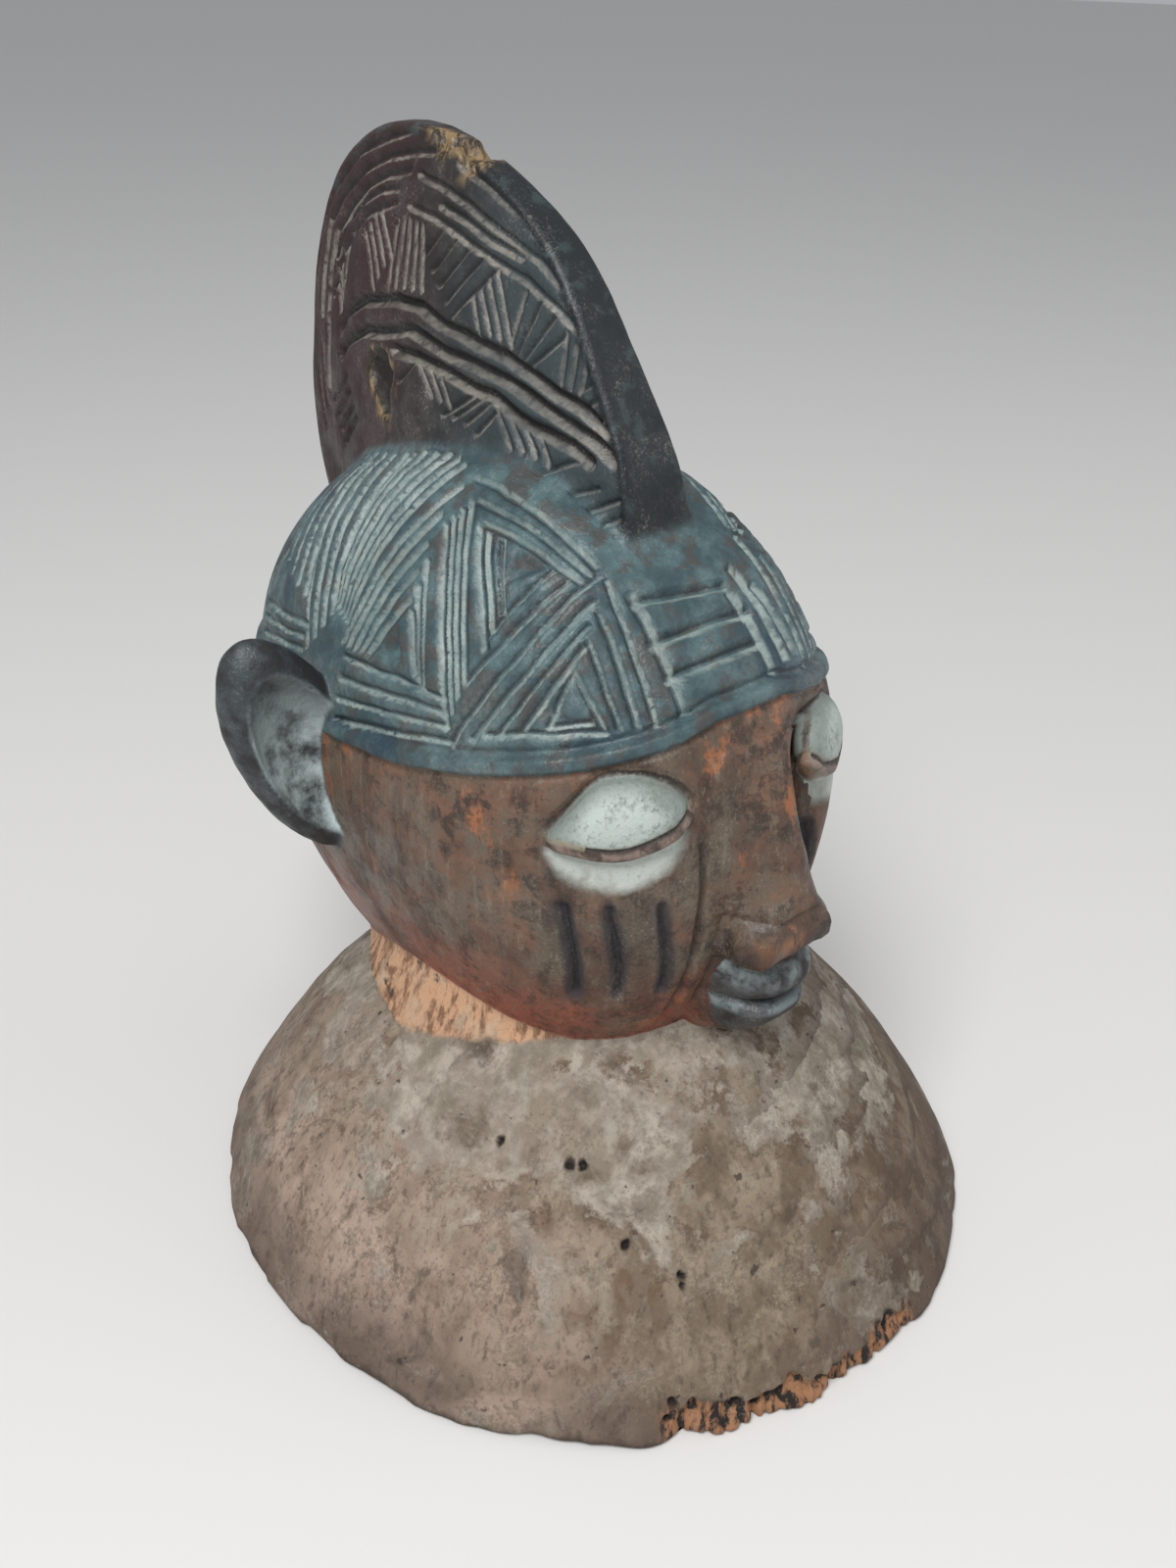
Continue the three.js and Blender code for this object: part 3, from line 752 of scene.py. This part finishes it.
# %% Worm holes and the eaten rim
WORM_HOLES = [
    (-72, -39, 70, 1.0), (-61, -59, 68, 1.3), (-58, -62, 68, 1.0), (-65, -113, 12, 1.2),
    (-68, -114, 8, 0.9), (-48, -124, 9, 1.6), (-42, -128, 7, 1.3), (-59, -83, 52, 0.9),
    (-49, -98, 45, 1.1), (-50, -99, 40, 1.0), (-50, 61, 74, 1.8), (64, -90, 30, 0.9),
    (96, 20, 41, 1.1), (40, 104, 48, 0.9), (-88, 66, 35, 0.9)]
ALONG_GRAIN = np.array([1, 1, 0.6])
holes = np.full(len(points), FAR)
raw_edge = 0.8 * lumps(*points.T, 1.6, 51)
for x, y, z, radius in WORM_HOLES:
    reach = np.linalg.norm((points - (x, y, z)) * ALONG_GRAIN, axis=1)
    holes = np.minimum(holes, reach - radius + raw_edge)
hole_cut = 2.6 * (1 - ramp(holes, -0.6, 0.9))
outer = np.hypot(points[:, 0], points[:, 1] / RIM_OVAL) > dome_radius(points[:, 2]) - 6
eaten = rim_loss(*points.T)
points = points - outward * (down + np.where(outer, hole_cut, 0))[:, None]
inward = np.stack([points[:, 0], points[:, 1], np.zeros(len(points))], -1)
inward /= np.linalg.norm(inward, axis=1)[:, None] + 1e-9
points = points - inward * (eaten * np.where(outer, 1.0, 0.15))[:, None]
points[:, 2] = np.maximum(points[:, 2], 0)
print("deepest rim loss:", round(float(eaten.max()), 2), "mm")

# %% [markdown]
# ## Marks for the paint
# The finish needs to know where it is. Each mark is a number on every point: which wall of a cut it
# is on, how far it lies above the hem, how far from a scar. They are stored on the mesh before it
# is thinned, and the thinning carries them along.

# %% Store the marks
def mark(name, values):
    layer = mask.data.attributes.new(name, "FLOAT", "POINT")
    layer.data.foreach_set("value", np.ascontiguousarray(values, np.float32))


set_points(mask.data, points * MM + np.array([0, shift, 0]) * MM)
x, y, z = points.T
zone_crest = ramp(part["head"] - part["crest"], -1.5, 2.5)
lower_part = np.minimum(part["skirt"], part["neck"])
upper_part = np.minimum.reduce([part[name] for name in ("head", "column", "crest", "ear", "eye")])
mark("dust_and_lit_wall", lit_all)
mark("shade", dim_all)
# The bold grooves are marked for painted shade at their bottoms.
mark("bold", bold / BOLD_DEEP)
mark("hem", np.clip(np.where(zone_crest > 0.5, 20, above_hem + 2.7), -20, 20))
mark("crest", zone_crest)
mark("crest_edge", (1 - share) * crest_reach(angle))
mark("ear", ramp(1.2 - part["ear"], 0, 1.0))
mark("ear_cup", ramp(1.0 - np.abs(ear_shape(x, y, z, 0.78, 10)), 0, 1))
mark("upper", np.clip(lower_part - upper_part, -20, 20))
mark("neck", np.clip(part["skirt"] - part["neck"], -20, 20))
mark("eye", eye_cap)
mark("slit", slit)
mark("lid", np.clip(lid_low, -20, 20))
mark("crescent", crescent)
mark("scar", scars)
corner = np.sqrt(np.clip((-65 - y) / 6, 0, 1))
lip_top = 114 + (12.5 + 3 * bump(np.abs(x - FACE_MIDDLE), 14, 6)) * corner
mouth = np.minimum(np.minimum(z - 114 + 17 * corner, lip_top - z), (-65 - y) * 0.7)
# The groove beside the nose is marked for painted shade.
mark("cheek_groove_shade", cheek_cut / 2.8)
mark("mouth", np.where(part["column"] < 1.5, mouth, -20))
torn = ramp(1.5 - losses(x, y, z), 0, 1.2) * (part["crest"] < 3)
# The deep part of the crest's punky hole, the worm holes and the nostrils are marked for painted shade.
punky_hole_shade = torn * ramp(-part["crest"], 0.4, 1.8) * (z < 300)
mark("torn", torn)
mark("eaten", ramp(eaten, 0.6, 2.0))
hole_shade = np.maximum(ramp(-holes, -0.9, 0.2) * outer, punky_hole_shade)
hole_shade = np.maximum(hole_shade, ramp(-nostril_reach(x, y, z), -4.2, -2.6))
mark("hole", hole_shade)
mark("inside", ramp(1.0 - np.abs(hollow(x, y, z)), 0, 0.6))
print("marks:", ", ".join(a.name for a in mask.data.attributes if a.data_type == "FLOAT"))

# %% Thin the mesh where it is smooth
def triangle_count(mesh):
    return sum(len(face.vertices) - 2 for face in mesh.polygons)


thin = mask.modifiers.new("thin", "DECIMATE")
thin.ratio = min(1.0, MOST_TRIANGLES / triangle_count(mask.data))
apply_modifiers(mask)
mask.data.shade_smooth()
print("carved mask:", len(mask.data.vertices), "points,", triangle_count(mask.data), "triangles")

# %% [markdown]
# ## Mixing the finish
# One material holds the whole history of the surface: raw wood, brown face paint, blue-black cap
# paint gone grey, white kaolin on the eyes, dust in the cuts, and bare wood where it is worn or
# torn. Layers are painted over each other with masks, the way the real ones lie. Every edge is
# broken up with noise, because no painted edge on an old mask is clean.

# %% Helpers for nodes
wood = bpy.data.materials.new("worn_painted_wood")
wood.use_nodes = True
tree = wood.node_tree
tree.nodes.clear()


def colour(hex_text):
    parts = [int(hex_text[i:i + 2], 16) / 255 for i in (0, 2, 4)]
    return [p / 12.92 if p <= 0.04045 else ((p + 0.055) / 1.055) ** 2.4 for p in parts] + [1.0]


def node(kind, **settings):
    made = tree.nodes.new(kind)
    for name, value in settings.items():
        setattr(made, name, value)
    return made


def plug(inlet, value):
    if isinstance(value, bpy.types.NodeSocket):
        tree.links.new(value, inlet)
    else:
        inlet.default_value = value


def math_of(kind, a, b=0.0):
    made = node("ShaderNodeMath", operation=kind)
    plug(made.inputs[0], a)
    plug(made.inputs[1], b)
    return made.outputs[0]


def add(a, b): return math_of("ADD", a, b)
def times(a, b): return math_of("MULTIPLY", a, b)
def either(a, b): return math_of("MAXIMUM", a, b)
def mixed(a, b, share=0.5): return add(times(a, share), times(b, 1 - share))


def step(value, start, end, low=0.0, high=1.0):
    made = node("ShaderNodeMapRange", interpolation_type="SMOOTHSTEP")
    names = ("Value", "From Min", "From Max", "To Min", "To Max")
    for name, setting in zip(names, (value, start, end, low, high)):
        plug(made.inputs[name], setting)
    return made.outputs[0]


def paint(under, over, mask_value):
    made = node("ShaderNodeMix", data_type="RGBA")
    plug(made.inputs[0], mask_value)
    plug(made.inputs[6], under)
    plug(made.inputs[7], over)
    return made.outputs[2]


def coats(tone, *layers):
    for tint, amount in layers:
        tone = paint(tone, colour(tint), amount)
    return tone


def stored(name):
    return node("ShaderNodeAttribute", attribute_name=name).outputs["Fac"]


place = node("ShaderNodeTexCoord").outputs["Object"]


def stretched(x, y, z):
    made = node("ShaderNodeMapping")
    made.inputs["Scale"].default_value = (x, y, z)
    tree.links.new(place, made.inputs["Vector"])
    return made.outputs[0]


def grain(size_mm, detail=4.0, rough=0.6, where=None, distort=0.0):
    made = node("ShaderNodeTexNoise")
    tree.links.new(where or place, made.inputs["Vector"])
    settings = {"Scale": 1000.0 / size_mm, "Detail": detail, "Roughness": rough, "Distortion": distort}
    for name, setting in settings.items():
        made.inputs[name].default_value = setting
    return made.outputs["Fac"]


# %% [markdown]
# ### Patterns that all layers share
# Large cloudy patches, middling mottle, fine speckle and upright grain, each at its true size.

# %% Shared patterns
cloud = grain(60, 3, 0.55)
cloud_two = grain(38, 4, 0.6, stretched(1, 1, 1.4), 0.6)
mottle = grain(14, 5, 0.65)
blotch = grain(8, 4, 0.6, None, 0.4)
speckle = grain(1.6, 3, 0.7)
fibre = grain(3.2, 4, 0.65, stretched(1, 1, 0.12))
fibre_wide = grain(12, 4, 0.6, stretched(1, 1, 0.2))
apart = node("ShaderNodeSeparateXYZ")
tree.links.new(place, apart.inputs[0])
across, ahead, up = (times(apart.outputs[k], 1000.0) for k in (0, 1, 2))

# %% [markdown]
# ### The skirt
# Bare weathered wood: grey-brown and palest higher up, lighter on the window side as painted light and
# darker on the far side as painted shade, darker and redder near the floor, with scalloped tide lines
# where damp has dried.

# %% Skirt colours
bare = coats(
    colour("6d5d4c"),
    ("8f7f6d", step(fibre_wide, 0.4, 0.62)),
    ("9a8b76", times(step(mottle, 0.5, 0.62), 0.5)),
    ("5e4630", times(step(blotch, 0.5, 0.62), step(cloud, 0.42, 0.58, 0.1, 0.75))),
    # Painted light on the window side, then painted shade on the far side.
    ("b59e8e", times(step(across, -50, -118), step(cloud_two, 0.36, 0.6, 0.3, 1))),
    ("57432f", times(step(across, -40, 60), step(cloud_two, 0.36, 0.6, 0.35, 0.95))),
    ("54443a", times(step(up, 40, 2), step(cloud, 0.36, 0.6, 0.15, 0.9))),
    ("453930", times(step(fibre, 0.52, 0.7), 0.65)),
    ("9b9284", times(step(speckle, 0.58, 0.72), 0.35)))
crust_noise = add(times(cloud_two, 0.55), add(times(mottle, 0.3), times(speckle, 0.1)))
crust_level = add(crust_noise, step(up, 20, 100, -0.045, 0.10))
crust = step(crust_level, 0.462, 0.525)
crust_tone = coats(
    colour("91877a"),
    ("b3aa9c", step(blotch, 0.4, 0.62)),
    ("6a6454", times(step(fibre_wide, 0.46, 0.64), 0.7)),
    ("c4bcaa", times(step(speckle, 0.55, 0.7), 0.5)))
crust_rim = times(step(crust_level, 0.45, 0.47), step(crust_level, 0.49, 0.475))
patchy = grain(24, 6, 0.7, stretched(1, 1, 0.6), 1.2)
tide = math_of("FRACT", add(times(up, -0.05), add(times(cloud_two, 3), times(mottle, 0.5))))
tide_line = times(step(tide, 0.55, 0.97), step(across, -60, 60, 0.1, 1))
pits = step(grain(4.5, 2, 0.5), 0.70, 0.76)
skirt_tone = coats(
    paint(bare, crust_tone, times(crust, step(cloud, 0.3, 0.52, 0.3, 0.85))),
    ("4a3c31", times(crust_rim, step(blotch, 0.4, 0.65, 0, 0.5))),
    ("5a4a38", times(step(cloud_two, 0.54, 0.66), step(mottle, 0.4, 0.6, 0.1, 0.7))),
    ("3f342b", times(step(patchy, 0.54, 0.68), 0.6)),
    ("4a3b30", times(step(mixed(mottle, speckle), 0.5, 0.62), 0.4)),
    ("a39f90", times(step(patchy, 0.44, 0.34), times(step(up, 10, 60), 0.4))),
    ("44352b", times(tide_line, 0.62)),
    ("2f2620", times(pits, 0.8)),
    ("32271f", times(step(add(up, times(mottle, 10)), 9, 6), 0.75)))

# %% [markdown]
# ### The face
# Red-brown paint rubbed thin over orange wood, darker where hands and smoke have left grease.

# %% Face colours
nose_raw = times(step(up, 126, 128), step(up, 142, 136))
nose_raw = times(nose_raw, times(step(across, -12, -8), step(across, 10, 5)))
nose_raw = times(nose_raw, step(ahead, -76, -80))
nose_raw = times(nose_raw, step(mixed(fibre_wide, mottle), 0.42, 0.48))
worn_spots = grain(17, 4, 0.6, stretched(1, 1, 0.55))
rubbed = step(add(times(worn_spots, 0.75), add(times(speckle, 0.15), times(fibre, 0.1))), 0.568, 0.612)
rubbed_where = either(step(cloud, 0.44, 0.6), times(step(ahead, -48, -70), step(up, 215, 195)))
face_tone = coats(
    colour("553f33"),
    ("785846", step(cloud_two, 0.35, 0.65)),
    ("5f5446", times(step(mottle, 0.4, 0.6), 0.85)),
    ("30261f", times(step(blotch, 0.5, 0.66), step(cloud, 0.4, 0.6, 0.2, 0.6))),
    ("3a2e27", times(step(fibre_wide, 0.5, 0.68), 0.5)),
    ("a0633e", times(rubbed, times(rubbed_where, 0.8))),
    ("8c4736", times(step(up, 135, 98), step(cloud_two, 0.34, 0.58, 0.2, 0.85))),
    ("2c221c", times(step(mixed(blotch, speckle), 0.49, 0.59), 0.62)),
    ("928672", times(step(mixed(fibre, speckle), 0.52, 0.64), 0.38)))

# %% [markdown]
# ### The cap and the crest
# Indigo paint weathered to slate. Dust and lime sit in the cuts. The wall of each cut that faces the
# window gets a painted highlight over the dust, and the other wall gets painted shade, so the carving
# reads light on dark. The bold grooves of the crest get painted shade at their bottoms, and the ear
# cups get dust with a painted highlight low down. The crest is browner behind and nearly black-green
# along its front edge.

# %% Cap, crest and ear colours
patchy_dust_and_highlight = step(mixed(speckle, blotch, 0.35), 0.34, 0.56, 0.45, 1)
patchy_dust_and_highlight = times(patchy_dust_and_highlight, step(cloud_two, 0.3, 0.6, 0.45, 1))
# Cut walls that face the window get dust with a painted highlight; walls turned from it get painted shade.
dust_and_wall_highlight = times(step(stored("dust_and_lit_wall"), 0.12, 0.75), patchy_dust_and_highlight)
dim_wall = step(stored("shade"), 0.2, 0.8)
cap_tone = coats(
    colour("32474c"),
    ("50686b", step(mottle, 0.38, 0.64)),
    ("463f3a", times(step(blotch, 0.48, 0.62), 0.7)),
    ("233746", times(step(cloud_two, 0.5, 0.64), 0.65)),
    ("6a7676", times(step(cloud, 0.5, 0.66), step(speckle, 0.4, 0.6, 0.1, 0.6))),
    ("23282b", times(dim_wall, 0.7)),
    ("97a5a0", times(dust_and_wall_highlight, 0.9)))
band = step(add(stored("crest_edge"), times(mottle, 2)), 5, 2.8)
crest_tone = coats(
    colour("201e1e"),
    ("393736", step(mottle, 0.4, 0.62)),
    ("321b1c", times(step(ahead, 45, 88), step(blotch, 0.35, 0.6, 0.6, 1))),
    ("364448", times(step(add(ahead, times(cloud, 50)), 90, 30), 0.7)),
    # Painted shade on cut walls turned from the window and at the bottoms of the bold grooves; dust with a
    # painted highlight on the walls that face it.
    ("161617", times(dim_wall, 0.75)),
    ("1a1818", step(stored("bold"), 0.5, 0.85)),
    ("868178", times(dust_and_wall_highlight, 0.9)),
    ("10171a", times(band, 0.94)),
    ("33201d", times(band, step(ahead, 50, 95))),
    ("364649", times(band, times(step(blotch, 0.5, 0.66), 0.6))))
cap_tone = paint(cap_tone, crest_tone, stored("crest"))
# Dust with a painted highlight, strongest low in the ear cups.
cup_dust_and_highlight = times(stored("ear_cup"), step(mixed(mottle, cloud), 0.36, 0.52))
ear_tone = coats(
    colour("262527"),
    ("3a4347", step(mottle, 0.4, 0.6)),
    ("adbaba", times(cup_dust_and_highlight, step(up, 200, 168, 0.2, 1))))
cap_tone = paint(cap_tone, ear_tone, stored("ear"))

# %% [markdown]
# ### Small painted parts, raw wood and the order of the layers
# White on the eyes with painted light and shade on them, dark slits, blue-black scars, grey-blue lips
# with painted highlights, then the bare and torn wood, with painted shade in the holes.

# %% Eyes
white_edge = step(add(stored("crescent"), times(mottle, 7)), 5, 0)
nose_tone = coats(colour("9c6a45"), ("3e2c20", step(fibre, 0.46, 0.6)))
tone = coats(
    paint(face_tone, nose_tone, nose_raw),
    # Painted shade in the grooves beside the nose.
    ("221915", times(step(stored("cheek_groove_shade"), 0.35, 0.95), 0.7)),
    ("bcc3bb", times(white_edge, step(blotch, 0.34, 0.54, 0.7, 1))))
eye_edge, lid = stored("eye"), stored("lid")
lid_edge = step(add(lid, times(blotch, 2)), -3.4, -2.4)
eye_mask = times(step(add(eye_edge, times(speckle, 0.8)), 0.9, -0.2), lid_edge)
# Painted light and shade on each eye's bulge: lighter in the middle, greyer toward the outline, and ochre
# painted shade along the lid's lower edge above the slit.
eye_tone = coats(
    colour("7f8781"),
    ("b4beb7", step(add(eye_edge, times(mottle, 6)), 1.5, -5)),
    ("747b74", step(mixed(mottle, speckle, 0.6), 0.48, 0.62, 0, 0.8)),
    ("8f7f62", times(step(add(lid, times(blotch, 2)), 3.2, 1.2), 0.7)))
under_lid = coats(colour("86746a"), ("43352e", step(blotch, 0.4, 0.6)))
eye_tone = paint(eye_tone, under_lid, step(lid, 0.2, -0.8))
slit_line = step(add(stored("slit"), times(blotch, 2.2)), 2.3, 1.2)
eye_tone = coats(eye_tone, ("242125", times(slit_line, 0.9)))
tone = paint(tone, eye_tone, eye_mask)
# Painted shade in the groove along the top of each eye's outline.
eye_rim_shade = times(step(eye_edge, -0.5, 0.2), step(eye_edge, 1.3, 0.7))
eye_rim_shade = times(times(eye_rim_shade, step(lid, 1, 5)), step(mottle, 0.4, 0.55, 0.45, 0.9))

# %% Scars and lips
scar, mouth = stored("scar"), stored("mouth")
smudge = step(add(scar, add(times(blotch, 5), times(fibre, 2))), 7.6, 5)
tone = coats(
    tone,
    ("1f1813", eye_rim_shade),
    ("2c2a30", times(smudge, 0.8)),
    ("16161d", times(step(add(scar, speckle), 1.9, 0.9), 0.85)),
    ("33251f", times(step(add(mouth, times(blotch, 6)), -11, -2), 0.8)))
# Painted highlights along the top of the upper lip and on the lower lip.
upper_lip_highlight = times(step(up, 117.5, 123.5), step(mixed(blotch, mottle), 0.38, 0.6))
lower_lip_highlight = times(step(up, 108.5, 110.5), step(up, 113.2, 111.8))
lip_tone = coats(
    colour("231f20"),
    ("3f4345", step(mottle, 0.4, 0.6)),
    ("94a0a0", times(upper_lip_highlight, 0.85)),
    ("7d8a8c", times(lower_lip_highlight, step(blotch, 0.4, 0.56, 0.1, 0.75))))
tone = paint(tone, lip_tone, times(step(add(mouth, times(mottle, 2)), 0.6, 1.8), 0.92))

# %% Cap, neck, torn wood and the inside
upper, eaten_wood = stored("upper"), stored("eaten")
cap_mask = either(step(add(stored("hem"), times(mottle, 1.6)), 0.5, 1.2), stored("ear"))
tone = paint(tone, cap_tone, cap_mask)
tone = paint(skirt_tone, tone, step(add(upper, times(blotch, 2)), 0.6, 1.4))
neck_tone = coats(
    colour("bf9676"),
    ("7c5a43", step(fibre, 0.44, 0.62)),
    ("b8a188", times(step(mottle, 0.5, 0.65), 0.7)),
    ("4c3a30", step(blotch, 0.6, 0.68)))
neck_mask = times(step(add(stored("neck"), times(blotch, 4)), 1.5, 3.5), step(upper, 0.8, -0.2))
tone = paint(tone, neck_tone, neck_mask)
raw_tone = coats(colour("a0714f"), ("4a3224", step(fibre, 0.42, 0.58)))
old_break = coats(colour("86704f"), ("33291e", step(fibre, 0.42, 0.56)))
raw_tone = paint(raw_tone, old_break, step(up, 200, 250))
tone = paint(tone, raw_tone, either(stored("torn"), times(eaten_wood, 0.9)))
# Near-black painted shade in the holes, the nostrils, the crest's punky hole and the slots between eaten
# fibres.
tone = coats(tone, ("1d1714", either(stored("hole"), times(eaten_wood, step(fibre, 0.5, 0.58)))))
inside_tone = coats(colour("6a523f"), ("8a7058", step(fibre_wide, 0.4, 0.62)))
tone = paint(tone, inside_tone, stored("inside"))

# %% Fine grit over everything
grit = grain(0.9, 3, 0.75)
tone = coats(
    tone,
    ("1c1713", times(step(mixed(grit, speckle), 0.52, 0.7), 0.42)),
    ("cfc6b6", times(step(mixed(grit, mottle, 0.6), 0.54, 0.74), 0.3)))

# %% Roughness, bump and the shader
painted = step(upper, 0.0, 1.0)
unpainted = math_of("SUBTRACT", 1.0, painted)
shader = node("ShaderNodeBsdfPrincipled")
plug(shader.inputs["Base Color"], tone)
gloss = times(painted, step(mottle, 0.35, 0.65, 0.4, 1.0))
plug(shader.inputs["Roughness"], step(gloss, 0.0, 1.0, 0.82, 0.42))
relief = add(times(fibre, 0.5), add(times(speckle, 0.35), times(blotch, 0.8)))
relief = add(relief, times(times(crust, unpainted), 0.3))
relief = math_of("SUBTRACT", relief, times(times(tide_line, unpainted), 0.5))
bump_node = node("ShaderNodeBump")
bump_node.inputs["Strength"].default_value = 0.8
bump_node.inputs["Distance"].default_value = 0.0009
plug(bump_node.inputs["Height"], relief)
plug(shader.inputs["Normal"], bump_node.outputs[0])
output = node("ShaderNodeOutputMaterial")
tree.links.new(shader.outputs[0], output.inputs[0])
mask.data.materials.clear()
mask.data.materials.append(wood)
print("finish:", len(tree.nodes), "nodes")

# %% The piece takes the CAD node's place
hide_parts("mask")
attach(mask, "root")

# %% [markdown]
# ## Floor, light and camera
# A pale floor, one large soft light from the upper left, a weak one from the right, and pale air.
# The camera looks down on the mask from its right front, close enough for the perspective to show.

# %% Floor and light
bpy.ops.mesh.primitive_circle_add(vertices=96, radius=6.0, fill_type="NGON", location=(0, 0, -0.0004))
floor = bpy.context.object
floor.name = "floor"
floor_finish = bpy.data.materials.new("pale_floor")
floor_finish.use_nodes = True
floor_shader = floor_finish.node_tree.nodes["Principled BSDF"]
floor_shader.inputs["Base Color"].default_value = (0.74, 0.73, 0.71, 1)
floor_shader.inputs["Roughness"].default_value = 0.9
floor.data.materials.append(floor_finish)

air = bpy.data.worlds.new("pale_air")
bpy.context.scene.world = air
air.use_nodes = True
air.node_tree.nodes["Background"].inputs["Color"].default_value = (0.86, 0.88, 0.92, 1)
air.node_tree.nodes["Background"].inputs["Strength"].default_value = 0.45


def soft_light(name, place, aim, size, power):
    lamp = bpy.data.lights.new(name, "AREA")
    lamp.size, lamp.energy = size, power
    thing = bpy.data.objects.new(name, lamp)
    thing.location = place
    thing.rotation_euler = (Vector(aim) - Vector(place)).to_track_quat("-Z", "Y").to_euler()
    bpy.context.scene.collection.objects.link(thing)


soft_light("window", (-0.75, -0.45, 1.45), (0, 0, 0.18), 0.7, 22)
soft_light("fill", (1.1, -0.9, 0.8), (0, 0, 0.18), 1.2, 4)
bpy.context.scene.view_settings.view_transform = "Standard"

# %% Camera
camera_place = np.array([-292.5, -324.8 + shift, 412.1]) * MM
forward = np.array([0.571, 0.6433, -0.510])
forward /= np.linalg.norm(forward)
right = np.cross(forward, [0, 0, 1])
right /= np.linalg.norm(right)
upward = np.cross(right, forward)
roll = 0.022
right, upward = (right * math.cos(roll) + upward * math.sin(roll),
                 upward * math.cos(roll) - right * math.sin(roll))
lens = bpy.data.cameras.new("camera")
lens.lens, lens.sensor_width, lens.sensor_fit = 36.0, 36.0, "AUTO"
lens.clip_start = 0.01
camera = bpy.data.objects.new("camera", lens)
bpy.context.scene.collection.objects.link(camera)
turned = Matrix((right, upward, -forward)).transposed().to_4x4()
camera.matrix_world = Matrix.Translation(Vector(camera_place)) @ turned
bpy.context.scene.camera = camera
